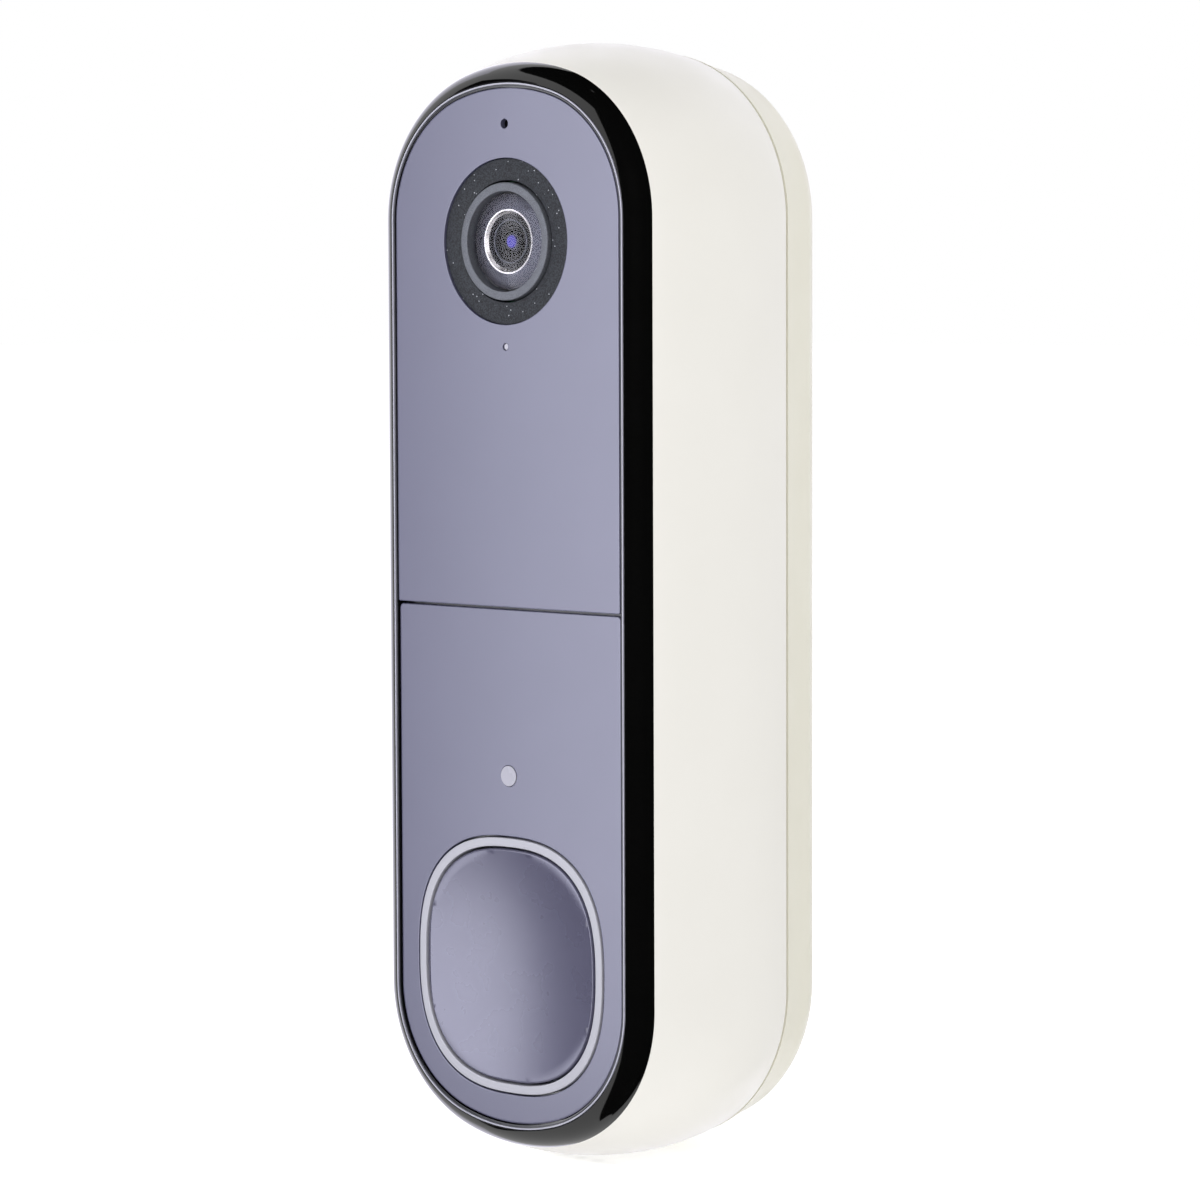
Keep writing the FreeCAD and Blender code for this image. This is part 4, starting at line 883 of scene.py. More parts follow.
def screw_tree() -> RepeatTree:
    """A tree that puts a socket-head screw, facing the wall, on every place."""
    repeat = RepeatTree("socket_head_screws")
    names = ("Head Radius", "Head Height", "Drive Radius", "Shank Radius", "Shank Length")
    head_r, head_h, drive_r, shank_r, shank_l = [repeat.size(name) for name in names]
    turn = repeat.size("Turn", "NodeSocketRotation")
    material = repeat.size("Material", "NodeSocketMaterial")
    tree = repeat.tree
    # The head's narrow end, the drive's depth and place, and the shank's place
    sizes = ((head_r, 0.84), (head_h, 1.1), (head_h, 0.9), (shank_l, -0.5))
    narrow_r, drive_h, drive_z, shank_z = [
        add_node(tree, "ShaderNodeMath", {"operation": "MULTIPLY"}, {1: factor}, {0: size}).outputs[0]
        for size, factor in sizes
    ]

    def lifted(shape: Socket, height: Socket) -> Socket:
        """A shape moved up its own axis."""
        step = add_node(tree, "ShaderNodeCombineXYZ", links={2: height}).outputs[0]
        links = {"Geometry": shape, "Translation": step}
        return add_node(tree, "GeometryNodeTransform", links=links).outputs[0]

    head = add_node(tree, "GeometryNodeMeshCone", inputs={"Vertices": 40, "Side Segments": 1},
                    links={"Radius Top": narrow_r, "Radius Bottom": head_r, "Depth": head_h})
    drive = add_node(tree, "GeometryNodeMeshCylinder", inputs={"Vertices": 6},
                     links={"Radius": drive_r, "Depth": drive_h})
    hollow = add_node(tree, "GeometryNodeMeshBoolean", {"operation": "DIFFERENCE"},
                      links={0: head.outputs[0], 1: lifted(drive.outputs[0], drive_z)})
    shank = add_node(tree, "GeometryNodeMeshCylinder", inputs={"Vertices": 28},
                     links={"Radius": shank_r, "Depth": shank_l})
    both = add_node(tree, "GeometryNodeJoinGeometry", links={0: hollow.outputs[0]})
    tree.links.new(lifted(shank.outputs[0], shank_z), both.inputs[0])
    turned = add_node(tree, "GeometryNodeTransform",
                      links={"Geometry": both.outputs[0], "Rotation": turn})
    repeat.end(turned.outputs[0], material)
    return repeat


def port_tree() -> RepeatTree:
    """A tree that puts an upright round bar on every place, to cut a hole with."""
    repeat = RepeatTree("round_ports")
    radius = repeat.size("Radius")
    length = repeat.size("Length")
    material = repeat.size("Material", "NodeSocketMaterial")
    bar = add_node(repeat.tree, "GeometryNodeMeshCylinder", inputs={"Vertices": 32},
                   links={"Radius": radius, "Depth": length})
    repeat.end(bar.outputs[0], material)
    return repeat


# Sub-assemblies
@dataclass
class Shell:
    """The white housing with its sound holes."""

    front: FrontOutline
    band: Point = (2.7, 2.7)
    belly: Point = (5.65, 17.6)
    rear: Point = (4.95, 26.15)
    wall: float = 2.0
    flange: float = 0.35
    flange_back: float = 4.3
    inner_step: float = 0.6
    front_ease: float = 0.1
    rear_ease: float = 0.22
    port_radius: float = 0.8
    port_length: float = 6.0
    port_pitch: float = 2.8
    port_depth: float = 13.8
    port_count: int = 5

    def section(self) -> Section:
        """The housing's section, from its front inner edge round the outside to the inner wall."""
        wall = self.wall
        outer = arc_through(self.band, self.belly, self.rear, 20)
        inner = arc_through((self.rear[0] - wall, self.rear[1]), (self.belly[0] - wall, self.belly[1]),
                            (self.band[0] - wall + self.inner_step, self.flange_back), 10)
        corners = [(-self.flange, self.band[1], 0.0), (*outer[0], self.front_ease)]
        corners += [(*point, 0.0) for point in outer[1:-1]]
        corners += [(*outer[-1], self.rear_ease)]
        corners += [(*point, 0.0) for point in inner]
        corners += [(-self.flange, self.flange_back, 0.0)]
        return eased(corners)

    def build(self) -> None:
        """Makes the housing and drills its ports."""
        made = carried("housing_shell", self.front.whole(), self.section())
        y = CAD_BOX[0].y + self.port_depth * MM
        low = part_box("housing")[0].z
        middle = (self.port_count - 1) / 2
        steps = [(index - middle) * self.port_pitch for index in range(self.port_count)]
        places = [Vector((step * MM, y, low)) for step in steps]
        values = {"Radius": self.port_radius * MM, "Length": self.port_length * MM,
                  "Material": Finishes.shell.material()}
        carve(made, port_tree().make("sound_ports", places, values))
        made.data.set_sharp_from_angle(angle=math.radians(CREASE))
        dress(made, Finishes.shell, Body.UNIT, ["housing"])


@dataclass
class WallPlate:
    """The ivory wall plate."""

    front: FrontOutline
    edge_depth: float = 26.45
    lip_rise: float = 0.2
    lip_grow: Point = (3.3, 4.6)
    lip_ease: float = 0.05
    lip_sink: float = 0.1

    def build(self) -> None:
        """A joined copy of the plate's own shape, and the low lip behind the parting line."""
        shell = merged_copy("wall_plate", "wall_plate_shell")
        dress(shell, Finishes.plate, Body.PLATE, ["wall_plate"])
        inner, outer = self.lip_grow
        top, foot = self.edge_depth - self.lip_rise, self.edge_depth + self.lip_sink
        section = eased([(inner, foot, 0.0), (inner, top, self.lip_ease), (outer, top, self.lip_ease),
                         (outer, foot, 0.0)], 3)
        lip = carried("wall_plate_lip", self.front.whole(), section)
        dress(lip, Finishes.plate, Body.PLATE)


@dataclass
class Places:
    """Where the front's features stand and how large their openings are."""

    lens_z: float
    mic_z: float
    light_z: float
    motion_z: float
    button_z: float
    seam_z: float
    mic_r: float = 0.6
    light_r: float = 0.45
    motion_r: float = 1.3
    surround_r: float = 10.4
    lens_ring_r: float = 7.4
    button_half_w: float = 15.65
    button_half_h: float = 16.3

    @classmethod
    def from_frame(cls) -> "Places":
        """Reads the heights from the CAD pieces themselves."""
        def middle(node: str) -> float:
            """The height of a node's middle, in millimetres."""
            low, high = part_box(node)
            return (low.z + high.z) / 2 / MM

        seam = (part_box("upper_panel")[0].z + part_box("lower_panel")[1].z) / 2 / MM
        nodes = ("lens_ring", "mic_gasket", "light_pipe", "motion_window", "button_light_ring")
        return cls(*[middle(node) for node in nodes], seam)

    def button(self, grow: float) -> Outline:
        """The call button's outline, grown outwards."""
        return Outline.squircle(self.button_half_w + grow, self.button_half_h + grow, self.button_z)


@dataclass
class Face:
    """The polished frame and the two lacquered panels in it."""

    front: FrontOutline
    places: Places
    band: Point = (2.7, 2.7)
    rim: float = 0.45
    panel_back: float = 1.75
    skirt_wall: float = 1.1
    skirt_end: float = 5.2
    upper_recess: float = 0.15
    upper_gap: float = 0.1
    lower_recess: float = 0.35
    lower_gap: float = 0.15
    seam: float = 0.3
    ring_gap: float = 0.25
    rim_back: float = 0.22
    rim_out: float = 0.08
    land_ease: float = 0.03
    bend: Point = (0.62, 0.36)
    upper_corner: float = 0.3
    upper_ease: float = 0.12
    lower_corner: float = 0.6
    lower_ease: float = 0.14
    hole_ease: float = 0.06
    hole_gap: float = 0.05
    button_ease: float = 0.08
    lens_ledge: float = 0.6
    mic_room: float = 0.2
    light_room: float = 0.4
    motion_room: float = 1.0
    button_room: float = 0.1
    large_r: float = 3.0

    def hole(
        self, radius: float, z: float, front: float, back: float, ease: float = 0.0
    ) -> tuple[Outline, Section]:
        """A round hole's outline and wall, with its front edge eased.

        Args:
            radius: Radius of the hole.
            z: Height of its centre.
            front: Depth of the plate's front.
            back: Depth of the plate's back.
            ease: Radius of the rounded front edge.

        Returns:
            The outline and the section for Solid.plate.
        """
        count = 96 if radius > self.large_r else 32
        return Outline.circle(radius, z=z, count=count), self.wall(front, back, ease)

    @staticmethod
    def wall(front: float, back: float, ease: float) -> Section:
        """A hole's wall from an eased front edge to the back."""
        if not ease:
            return [(0.0, front), (0.0, back)]
        return eased([(ease * 2, front, 0.0), (0.0, front, ease), (0.0, back, 0.0)])

    @staticmethod
    def edge(front: float, back: float, ease: float) -> Section:
        """A plate's outer edge from an eased front corner to the back."""
        return eased([(-ease * 2, front, 0.0), (0.0, front, ease), (0.0, back, 0.0)])

    def bezel(self) -> None:
        """The black frame: a rim, a rolled side and a floor with openings."""
        middle = (self.band[0] * self.bend[0], self.band[1] * self.bend[1])
        roll = arc_through((0.0, 0.0), middle, self.band, 16)
        skirt = -self.rim - self.skirt_wall
        front, back = self.panel_back, self.band[1]
        path = [(-self.rim, front), (-self.rim, self.rim_back), (self.rim_out, self.rim_back)]
        path += [point for point in roll if point[0] >= self.rim_out]
        path += [(-self.rim, back), (-self.rim, self.skirt_end), (skirt, self.skirt_end), (skirt, back)]
        spots = self.places
        holes = [
            self.hole(spots.surround_r - self.lens_ledge, spots.lens_z, front, back),
            self.hole(spots.mic_r + self.mic_room, spots.mic_z, front, back),
            self.hole(spots.light_r + self.light_room, spots.light_z, front, back),
            self.hole(spots.motion_r + self.motion_room, spots.motion_z, front, back),
            (spots.button(self.button_room), self.wall(front, back, 0.0)),
        ]
        solid = Solid()
        solid.plate((self.front.whole(), path), holes)
        dress(solid.piece("front_frame"), Finishes.band, Body.UNIT, ["front_bezel"])

    def trim(self) -> None:
        """The two thin lands in the frame's rim: a dull inner one and a bright outer one, whose light
        colour is a painted highlight of the rim's edge.
        """
        # Name, inner and outer edge, height below the rim's top, finish
        # The outer land's light colour is a painted highlight along the rim's edge
        lands = (("rim_land_inner", -0.34, -0.22, 0.1, Finishes.dull_trim),
                 ("rim_land_outer", -0.12, self.rim_out - 0.01, 0.01, Finishes.trim))
        ease, foot = self.land_ease, self.rim_back
        for name, inner, outer, top, finish in lands:
            section = eased([(inner, foot, 0.0), (inner, top, ease), (outer, top, ease),
                             (outer, foot, 0.0)], 3)
            dress(carried(name, self.front.whole(), section), finish, Body.UNIT)

    def upper(self) -> None:
        """The upper panel with its three round openings."""
        front, back = self.upper_recess, self.panel_back
        spots = self.places
        ease, cut = self.hole_ease, spots.seam_z + self.seam / 2
        outline = self.front.part(-self.rim - self.upper_gap, cut, self.upper_corner, True)
        holes = [
            self.hole(spots.surround_r + self.hole_gap, spots.lens_z, front, back, ease),
            self.hole(spots.mic_r, spots.mic_z, front, back, ease),
            self.hole(spots.light_r, spots.light_z, front, back, ease),
        ]
        solid = Solid()
        solid.plate((outline, self.edge(front, back, self.upper_ease)), holes)
        dress(solid.piece("upper_panel_sheet"), Finishes.panel, Body.UNIT, ["upper_panel"])

    def lower(self) -> None:
        """The lower panel, round-cornered at the seam, with the button's and sensor's openings."""
        front, back = self.lower_recess, self.panel_back
        spots = self.places
        cut = spots.seam_z - self.seam / 2
        outline = self.front.part(-self.rim - self.lower_gap, cut, self.lower_corner, False)
        holes = [
            self.hole(spots.motion_r + self.hole_gap, spots.motion_z, front, back, self.hole_ease),
            (spots.button(self.ring_gap), self.wall(front, back, self.button_ease)),
        ]
        solid = Solid()
        solid.plate((outline, self.edge(front, back, self.lower_ease)), holes)
        dress(solid.piece("lower_panel_sheet"), Finishes.panel, Body.UNIT, ["lower_panel"])

    def build(self) -> None:
        """Makes the frame and both panels."""
        self.bezel()
        self.trim()
        self.upper()
        self.lower()


@dataclass
class Microphone:
    """The dark mesh seen through the microphone's hole; its black also stands in as painted shade down
    the hole.
    """

    places: Places
    depth: float = 0.9
    back: float = 1.1
    gap: float = 0.01

    def build(self) -> None:
        """A thin disc that fills the hole."""
        spots = self.places
        solid = Solid()
        disc = Outline.circle(spots.mic_r - self.gap, z=spots.mic_z, count=32)
        front, back = solid.loft(disc, [(0.0, self.depth), (0.0, self.back)])
        solid.fill(front)
        solid.fill(back)
        # The disc's black is partly the mesh and partly painted shade in the hole
        dress(solid.piece("microphone_mesh_and_painted_shade"), Finishes.throat, Body.UNIT)


@dataclass
class CallButton:
    """The light ring and the dished cap."""

    places: Places
    ring_face: float = 1.1
    ring_recess: float = 0.25
    ring_back: float = 4.2
    ring_ease: float = 0.1
    flange: float = 1.0
    flange_front: float = 2.7
    flange_back: float = 3.5
    cap_gap: float = 0.3
    cap_recess: float = 0.3
    dish: float = 1.0
    cap_back: float = 5.1
    cap_wall: float = 1.2
    boss_r: float = 2.2
    boss_back: float = 6.3
    cap_ease: float = 0.25
    cap_flange: float = 4.3
    cap_hollow: float = 2.5
    rings: int = 26

    def light_ring(self) -> None:
        """The milky ring round the cap, with the flange that holds it behind the frame."""
        spots = self.places
        front, back = self.flange_front, self.flange_back
        ease, face = self.ring_ease, self.ring_recess
        outside = eased([(-3 * ease, face, 0.0), (0.0, face, ease), (0.0, front, 0.0),
                         (self.flange, front, 0.0), (self.flange, back, 0.0), (0.0, back, 0.0),
                         (0.0, self.ring_back, 0.0)])
        inside = eased([(3 * ease, face, 0.0), (0.0, face, ease), (0.0, self.ring_back, 0.0)])
        solid = Solid()
        first = solid.loft(spots.button(0.0), outside)
        second = solid.loft(spots.button(-self.ring_face), inside)
        solid.skin(first[0], second[0])
        solid.skin(first[1], second[1])
        dress(solid.piece("button_ring"), Finishes.guide, Body.UNIT, ["button_light_ring"])

    def cap(self) -> None:
        """The dished cap: a shallow bowl, a rolled edge, a hollow back and a centre boss."""
        spots = self.places
        half_w = spots.button_half_w - self.ring_face - self.cap_gap
        half_h = spots.button_half_h - self.ring_face - self.cap_gap
        bowl_r = (half_h ** 2 + self.dish ** 2) / (2 * self.dish)
        outline = Outline.squircle(half_w, half_h, spots.button_z)

        def bowl(distance: float) -> float:
            """The dish's depth at a distance from its middle."""
            sunk = self.cap_recess + self.dish - bowl_r + math.sqrt(bowl_r ** 2 - distance ** 2)
            return max(self.cap_recess, sunk)

        solid = Solid()
        ease, hollow = self.cap_ease, self.cap_hollow
        reach = (1 - ease / half_w) / self.rings
        loops = [solid.loop(outline.scaled(reach * step, spots.button_z, bowl))
                 for step in range(1, self.rings + 1)]
        for here, after in zip(loops, loops[1:]):
            solid.skin(here, after)
        solid.pole(loops[0], Vector((0.0, CAD_BOX[0].y + bowl(0.0) * MM, spots.button_z * MM)))
        # A hair short of the full ease, so that no two points fall together
        side = eased([(-ease * 0.999, self.cap_recess, 0.0), (0.0, self.cap_recess, ease * 0.99),
                      (0.0, self.cap_flange, 0.0), (self.flange, self.cap_flange, 0.0),
                      (self.flange, self.cap_back, 0.0), (-self.cap_wall, self.cap_back, 0.0),
                      (-self.cap_wall, hollow, 0.0)])
        first, last = solid.loft(outline, side)
        solid.skin(loops[-1], first)
        stem = Outline.circle(self.boss_r, z=spots.button_z, count=48)
        boss = solid.loft(stem, [(0.0, hollow), (0.0, self.boss_back)])
        solid.fill(last, boss[0])
        solid.fill(boss[1])
        dress(solid.piece("call_button_cap"), Finishes.cap, Body.BUTTON, ["button_cap"])

    def build(self) -> None:
        """Makes the ring and the cap."""
        self.light_ring()
        self.cap()


@dataclass
class Camera:
    """The lens: surround, ring, cover glass, mask and what shows down the barrel."""

    places: Places
    ring_bore: float = 6.3
    ring_length: float = 6.0
    ring_seat: float = 3.0
    ring_ease: float = 0.15
    surround_recess: float = 0.45
    surround_back: float = 1.75
    surround_gap: float = 0.25
    edge_ease: float = 0.08
    glass_edge: float = 0.9
    glass_sag: float = 0.8
    glass_gap: float = 0.3
    glass_lap: float = 0.02
    mask_gap: float = 0.04
    mask_bore: float = 3.5
    mask_bevel: float = 0.45
    mask_thickness: float = 0.8
    mask_fall: float = 0.55
    mask_ease: float = 0.03
    bevel_lap: float = 0.1
    bevel_rise: float = 0.02
    bevel_fall: float = 0.3
    first_lens_r: float = 1.5
    first_lens_front: float = 1.4
    first_lens_sag: float = 0.8
    first_lens_back: float = 3.2
    # Radius, depth and ease of each corner of the stepped cell and of the ring that holds it
    cell: Corners = (
        (3.45, 1.6, 0.0), (3.45, 1.22, 0.03), (3.1, 1.22, 0.04), (3.05, 1.5, 0.02), (2.76, 1.5, 0.0),
        (2.76, 1.7, 0.0), (2.56, 1.7, 0.0), (2.5, 1.45, 0.05), (1.72, 1.87, 0.03), (1.7, 1.65, 0.04),
        (1.55, 1.65, 0.02), (1.52, 1.95, 0.0), (1.52, 3.2, 0.0), (2.8, 3.2, 0.0), (2.8, 1.6, 0.0),
    )
    ridge: Corners = ((2.74, 1.65, 0.0), (2.72, 1.32, 0.03), (2.6, 1.32, 0.03), (2.58, 1.65, 0.0))
    # Painted reflections on the first element, from the violet pupil out to its dark edge, with a pale
    # painted ring between dark ones
    painted_reflection_stops: tuple[tuple[float, str], ...] = (
        (0.0, "463EA2"), (0.3, "5248B0"), (0.5, "463E9A"), (0.58, "14141E"), (0.68, "50526A"),
        (0.76, "101014"), (0.9, "1A1B22"), (1.0, "0A0A0C"),
    )

    def circle(self, radius: float, count: int = 128) -> Outline:
        """A circle on the camera's axis."""
        return Outline.circle(radius, z=self.places.lens_z, count=count)

    def turned(
        self, name: str, section: Section, finish: Finish, slot: str, nodes: Sequence[str] = ()
    ) -> None:
        """Turns a closed section, in (radius, depth), about the camera's axis and dresses it."""
        dress(carried(name, self.circle(0.0), section), finish, Body.UNIT, nodes)

    def dome(self, name: str, radius: float, front: float, edge: float, back: float) -> Object:
        """A convex glass element with a flat back.

        Args:
            name: The piece's name.
            radius: Radius of the element.
            front: Depth of the dome's top.
            edge: Depth where the dome meets the rim.
            back: Depth of the flat back.

        Returns:
            The piece.
        """
        sag = edge - front
        ball = (radius ** 2 + sag ** 2) / (2 * sag)
        solid = Solid()
        axis = Vector((0.0, CAD_BOX[0].y, self.places.lens_z * MM))
        radii = [radius * step / 24 for step in range(1, 25)]
        section = [(r, front + ball - math.sqrt(ball ** 2 - r ** 2)) for r in radii]
        section.append((radius, back))
        start, end = solid.loft(self.circle(0.0), section)
        solid.pole(start, axis + Vector((0.0, front * MM, 0.0)))
        solid.pole(end, axis + Vector((0.0, back * MM, 0.0)))
        return solid.piece(name)

    def build(self) -> None:
        """Makes each piece from the front inwards."""
        spots, ease = self.places, self.edge_ease
        hole, rim = spots.lens_ring_r + self.surround_gap, spots.surround_r
        front, back = self.surround_recess, self.surround_back
        section = eased([(hole, (front + back) / 2, 0.0), (hole, front, ease), (rim, front, ease),
                         (rim, back, 0.0), (hole, back, 0.0)])
        self.turned("lens_surround_disc", section, Finishes.surround, "dark_texture", ["lens_surround"])

        outer, bore, foot = spots.lens_ring_r, self.ring_bore, self.ring_length
        section = eased([(bore, self.ring_seat, 0.0), (bore, 0.0, ease), (outer, 0.0, self.ring_ease),
                         (outer, foot, 0.0), (bore, foot, 0.0)], 6)
        self.turned("lens_front_ring", section, Finishes.ring, "lens_grey", ["lens_ring"])

        edge, glass_r = self.glass_edge, bore - self.glass_gap
        glass = self.dome("cover_glass", glass_r, edge - self.glass_sag, edge - self.glass_lap, edge)
        dress(glass, Finishes.dome, Body.UNIT, ["front_lens"])

        top, deep, ease = edge + self.mask_gap, edge + self.mask_thickness, self.mask_ease
        narrow, wide = self.mask_bore, self.mask_bore + self.mask_bevel
        section = eased([(wide, deep, 0.0), (wide, top, ease), (glass_r, top + self.mask_fall, ease),
                         (glass_r, deep, 0.0)])
        self.turned("lens_mask_disc", section, Finishes.mask, "lens_black", ["lens_mask"])
        lip, lap = top - self.bevel_rise, self.bevel_lap
        section = [(wide + lap, lip), (wide + lap, deep), (narrow, deep),
                   (narrow, top + self.bevel_fall), (wide - lap, lip)]
        self.turned("lens_mask_bevel", section, Finishes.bevel, "lens_grey")

        front, back = self.first_lens_front, self.first_lens_back
        first = self.dome("first_lens", self.first_lens_r, front, front + self.first_lens_sag, back)
        # The violet pupil and the rings round it are painted reflections on the first element
        pupil = LensPupil("lens_glass_painted_reflection_rings", spots.lens_z, self.painted_reflection_stops, self.first_lens_r)
        dress(first, pupil, Body.UNIT, ["inner_lens_front"])
        self.turned("lens_throat", eased(list(self.cell)), Finishes.throat, "lens_black")
        self.turned("lens_retaining_ring", eased(list(self.ridge), 3), Finishes.ring, "lens_grey")


@dataclass
class Screws:
    """The four small socket-head screws that close the case from behind."""

    head_r: float = 1.7
    head_h: float = 1.2
    drive: float = 0.45
    shank_r: float = 0.75
    shank_length: float = 5.2

    def build(self) -> None:
        """Sets a screw at each corner of the CAD node's box, its head towards the wall."""
        low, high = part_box("chassis_screws")
        inset = self.head_r * MM
        seat = high.y - self.head_h * MM
        places = [Vector((x, seat, z)) for x in (low.x + inset, high.x - inset)
                  for z in (low.z + inset, high.z - inset)]
        values = {
            "Head Radius": self.head_r * MM, "Head Height": self.head_h * MM,
            "Drive Radius": self.head_r * self.drive * MM,
            "Shank Radius": self.shank_r * MM, "Shank Length": self.shank_length * MM,
            "Turn": (math.radians(-90), 0.0, 0.0), "Material": Finishes.steel.material(),
        }
        made = screw_tree().make("case_screw_set", places, values)
        dress(made, Finishes.steel, Body.UNIT, ["chassis_screws"])


class Insides:
    """CAD pieces whose shape stays, with the finish that each one gets."""

    @staticmethod
    def nodes() -> dict[str, Finish]:
        """The finish of each remaining CAD node."""
        groups: list[tuple[Finish, str]] = [
            (Finishes.chassis, "rear_chassis battery_lid"),
            (Finishes.black, "lens_barrel camera_holder battery_case battery_latch sync_button "
                             "switch_plunger speaker_basket filter_shuttle terminal_block"),
            (Finishes.seal, "chassis_seal mic_gasket speaker_gasket"),
            (Finishes.dome_rubber, "button_dome"),
            (Finishes.board, "camera_board ir_board button_board main_board battery_board microphone"),
            (Finishes.chip, "processor image_sensor button_switch sync_switch light_sensor"),
            (Finishes.phosphor, "ir_leds button_leds"),
            (Finishes.steel, "camera_screws board_screws terminal_screws latch_screw latch_clip "
                             "usb_port speaker_magnet"),
            (Finishes.tin, "shield_cans motion_sensor"),
            (Finishes.gold, "battery_springs battery_pads wifi_antenna"),
            (Finishes.flex, "camera_flex"),
            (Finishes.wrap, "battery_cells"),
            (Finishes.paper, "speaker_cone"),
            (Finishes.lens, "inner_lens_rear"),
            (Finishes.filter, "filter_glasses"),
            (Finishes.pin, "light_pipe"),
            (Finishes.window, "motion_window"),
        ]
        return {node: finish for finish, names in groups for node in names.split()}

    def build(self) -> None:
        """Dresses each CAD node that keeps its shape, so that none is left in its plain colour."""
        chosen = self.nodes()
        for name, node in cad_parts.items():
            finish = chosen.get(name)
            if finish is None:
                continue
            if not node.material_slots:
                node.data.materials.append(None)
            for slot in node.material_slots:
                slot.material = finish.material()
            log.info("%s: dressed in %s", name, finish.name)


# Studio
@dataclass
class Lamp:
    """One soft area light that faces a point."""

    name: str
    azimuth: float
    elevation: float
    distance: float
    width: float
    height: float
    power: float
    tint: str = "FFFFFF"
    mirrored: bool = True

    def build(self, target: Vector) -> None:
        """Hangs the light round the target."""
        data = bpy.data.lights.new(self.name, "AREA")
        data.shape = "RECTANGLE"
        data.size, data.size_y = self.width, self.height
        data.energy = self.power
        data.color = linear(self.tint)[:3]
        back = towards(self.azimuth, self.elevation)
        made = hang(self.name, data)
        made.location = target + back * self.distance
        made.visible_glossy = self.mirrored
        made.rotation_mode = "QUATERNION"
        made.rotation_quaternion = back.to_track_quat("Z", "Y")


@dataclass
class Flag:
    """A curved card, black or glowing, that only mirror reflections can see."""

    name: str
    first: float
    last: float
    low: float
    high: float
    distance: float
    steps: int = 16
    rows: int = 6
    glow: float = 0.0
    tint: str = "F4F2FF"

    def cloth(self) -> bpy.types.Material:
        """Black velvet, or the glowing paper of a lit card."""
        made = blank("backlit_paper" if self.glow else "black_velvet_" + self.name)
        tree = made.node_tree
        inputs = {"Base Color": linear("000000"), "Specular IOR Level": 0.0,
                  "Emission Color": linear(self.tint), "Emission Strength": self.glow}
        pile = Finish.range(tree, Finish.noise(tree, 2.0), 0.9, 1.0)
        Finish.close(tree, inputs, {"Roughness": pile})
        return made

    def build(self, target: Vector) -> None:
        """Stands the card round the target between its azimuths and elevations."""
        wide = self.rows + 1
        points = []
        for index in range(self.steps + 1):
            azimuth = self.first + (self.last - self.first) * index / self.steps
            for row in range(wide):
                elevation = self.low + (self.high - self.low) * row / self.rows
                points.append(target + towards(azimuth, elevation) * self.distance)
        corners = (0, wide, wide + 1, 1)
        faces = [[wide * index + row + step for step in corners]
                 for index in range(self.steps) for row in range(self.rows)]
        data = bpy.data.meshes.new(self.name)
        data.from_pydata(points, [], faces)
        data.materials.append(self.cloth())
        made = hang(self.name, data)
        for kind in ("camera", "diffuse", "transmission", "shadow", "volume_scatter"):
            setattr(made, "visible_" + kind, False)


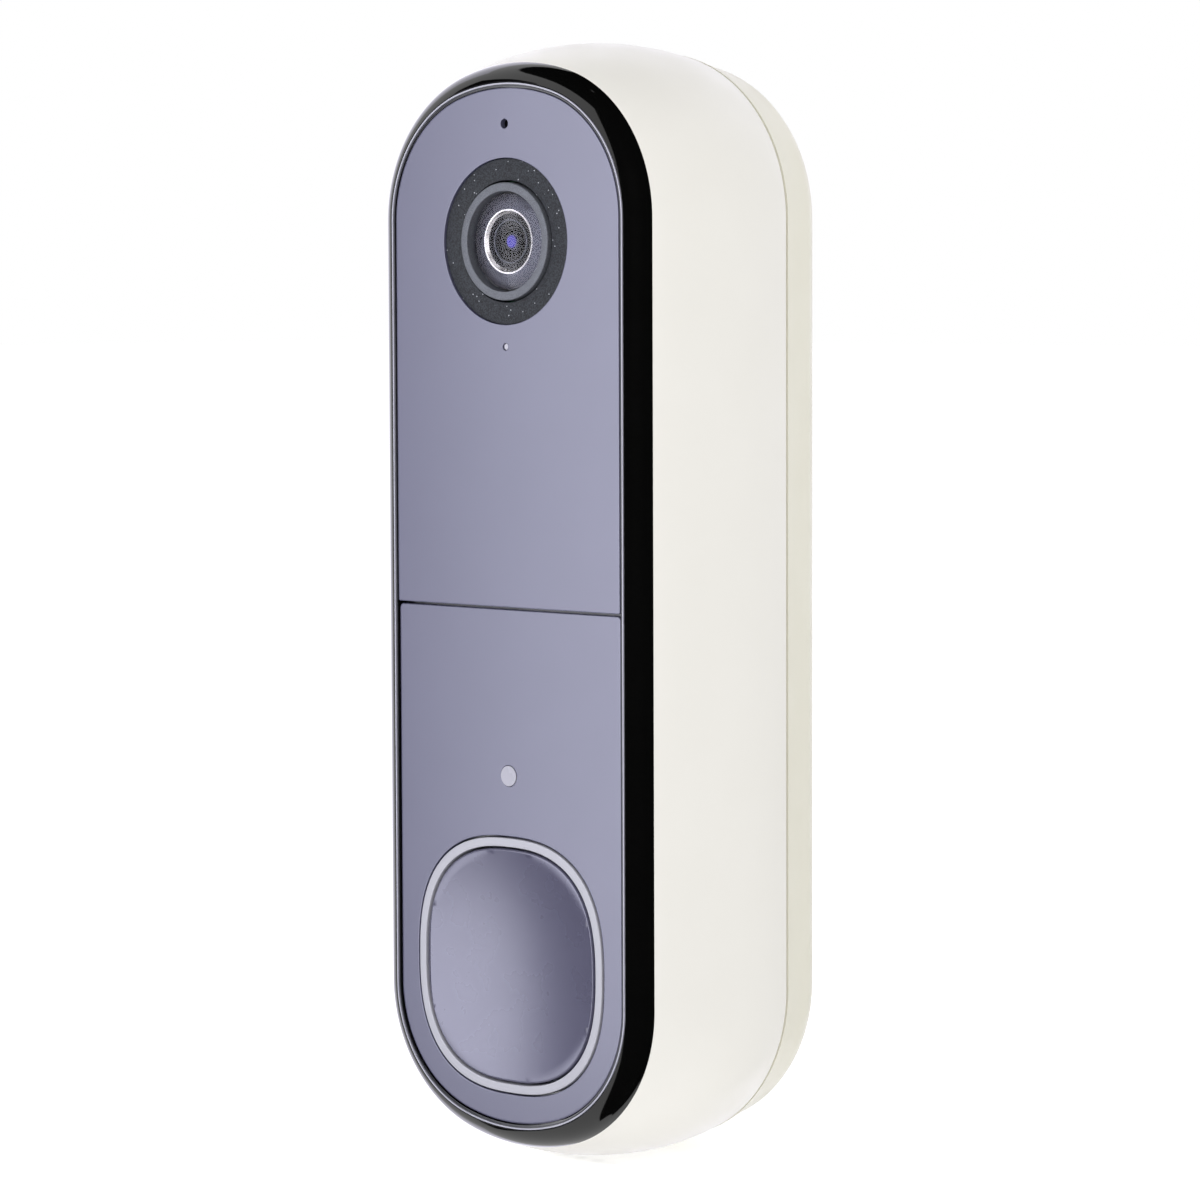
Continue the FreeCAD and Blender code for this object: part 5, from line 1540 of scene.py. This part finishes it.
@dataclass
class Studio:
    """The camera, the lamps, the world and the floor."""

    aim: tuple[float, float, float] = (8.79, -27.40, 1.23)
    azimuth: float = 41.235
    elevation: float = 4.238
    roll: float = -0.216
    distance: float = 535.5
    lens: float = 127.2
    sensor: float = 36.0
    near: float = 0.01
    ambient: float = 0.62
    floor_half: float = 6.0
    floor_drop: float = 0.4
    floor_glow: float = 0.3
    floor_lift: float = 0.22
    lamps: tuple[Lamp, ...] = (
        Lamp("softbox_front_left", -24, 1, 0.45, 0.32, 0.34, 1.1, "F6F7FF"),
        Lamp("softbox_right", 44, 12, 0.9, 0.5, 0.7, 2.3, "FFFDF9"),
        Lamp("softbox_top", 40, 76, 0.8, 0.5, 0.5, 1.1, mirrored=False),
    )
    flags: tuple[Flag, ...] = (
        Flag("black_flag_right", 2, 116, -82, 82, 0.7),
        Flag("black_flag_left", -66, -41, -45, 40, 0.6),
        Flag("black_flag_above", 0, 360, 54, 89, 0.9, 32),
        Flag("white_card_behind", -200, -92, -45, 45, 0.8, glow=1.85),
    )

    def camera(self) -> None:
        """A long lens at the viewing angle, upright but for a hair of roll."""
        back = towards(self.azimuth, self.elevation)
        data = bpy.data.cameras.new("camera")
        data.lens = self.lens
        data.sensor_width = self.sensor
        data.clip_start = self.near
        made = hang("camera", data)
        made.location = Vector(self.aim) * MM + back * (self.distance * MM)
        made.rotation_mode = "QUATERNION"
        level = back.to_track_quat("Z", "Y").to_matrix().to_4x4()
        roll = Matrix.Rotation(math.radians(self.roll), 4, back)
        made.rotation_quaternion = (roll @ level).to_quaternion()
        bpy.context.scene.camera = made

    @staticmethod
    def seen(tree: Tree) -> Socket:
        """One for camera, mirror and glass rays, nought for the light that falls on things."""
        path = add_node(tree, "ShaderNodeLightPath")
        pair = add_node(tree, "ShaderNodeMath", {"operation": "MAXIMUM"},
                        links={0: path.outputs["Is Camera Ray"], 1: path.outputs["Is Glossy Ray"]})
        return add_node(tree, "ShaderNodeMath", {"operation": "MAXIMUM"},
                        links={0: pair.outputs[0], 1: path.outputs["Is Transmission Ray"]}).outputs[0]

    def world(self) -> None:
        """White to look at, softer as light on the object."""
        made = bpy.data.worlds.new("studio")
        made.use_nodes = True
        tree = made.node_tree
        tree.nodes.clear()
        pure = linear("FFFFFF")
        light, white = [add_node(tree, "ShaderNodeBackground", inputs={"Color": pure, "Strength": power})
                        for power in (self.ambient, 1.0)]
        mix = add_node(tree, "ShaderNodeMixShader",
                       links={0: self.seen(tree), 1: light.outputs[0], 2: white.outputs[0]})
        add_node(tree, "ShaderNodeOutputWorld", links={0: mix.outputs[0]})
        bpy.context.scene.world = made

    def floor(self) -> None:
        """A pale matt floor that takes the object's shadow and meets the white behind it."""
        made = blank("matt_white_paper")
        tree = made.node_tree
        tone = Finish.blend(tree, Finish.noise(tree, 0.6), "F4F4F4", "F8F8F8")
        paper = add_node(tree, "ShaderNodeBsdfPrincipled",
                         inputs={"Roughness": 0.9, "Specular IOR Level": 0.0},
                         links={"Base Color": tone})
        lift = add_node(tree, "ShaderNodeMath", {"operation": "MULTIPLY_ADD"},
                        {1: self.floor_lift, 2: self.floor_glow}, {0: self.seen(tree)})
        glow = add_node(tree, "ShaderNodeEmission", links={"Strength": lift.outputs[0]})
        both = add_node(tree, "ShaderNodeAddShader", links={0: paper.outputs[0], 1: glow.outputs[0]})
        add_node(tree, "ShaderNodeOutputMaterial", links={0: both.outputs[0]})
        data = bpy.data.meshes.new("floor")
        half, z = self.floor_half, CAD_BOX[0].z - self.floor_drop * MM
        corners = [(-half, -half, z), (half, -half, z), (half, half, z), (-half, half, z)]
        data.from_pydata(corners, [], [(0, 1, 2, 3)])
        data.materials.append(made)
        sheet = hang("floor", data)
        sheet.visible_glossy = False

    def build(self) -> None:
        """Sets up everything round the object."""
        self.camera()
        self.world()
        self.floor()
        target = (CAD_BOX[0] + CAD_BOX[1]) / 2
        for stand in (*self.lamps, *self.flags):
            stand.build(target)
        bpy.context.scene.view_settings.view_transform = "Standard"


def main() -> None:
    """Builds the studio and each sub-assembly in order."""
    logging.basicConfig(level=logging.INFO, format="%(name)s %(message)s")
    front = FrontOutline()
    places = Places.from_frame()
    Studio().build()
    Shell(front).build()
    WallPlate(front).build()
    Face(front, places).build()
    Microphone(places).build()
    CallButton(places).build()
    Camera(places).build()
    Screws().build()
    Insides().build()


if __name__ == "__main__":
    main()
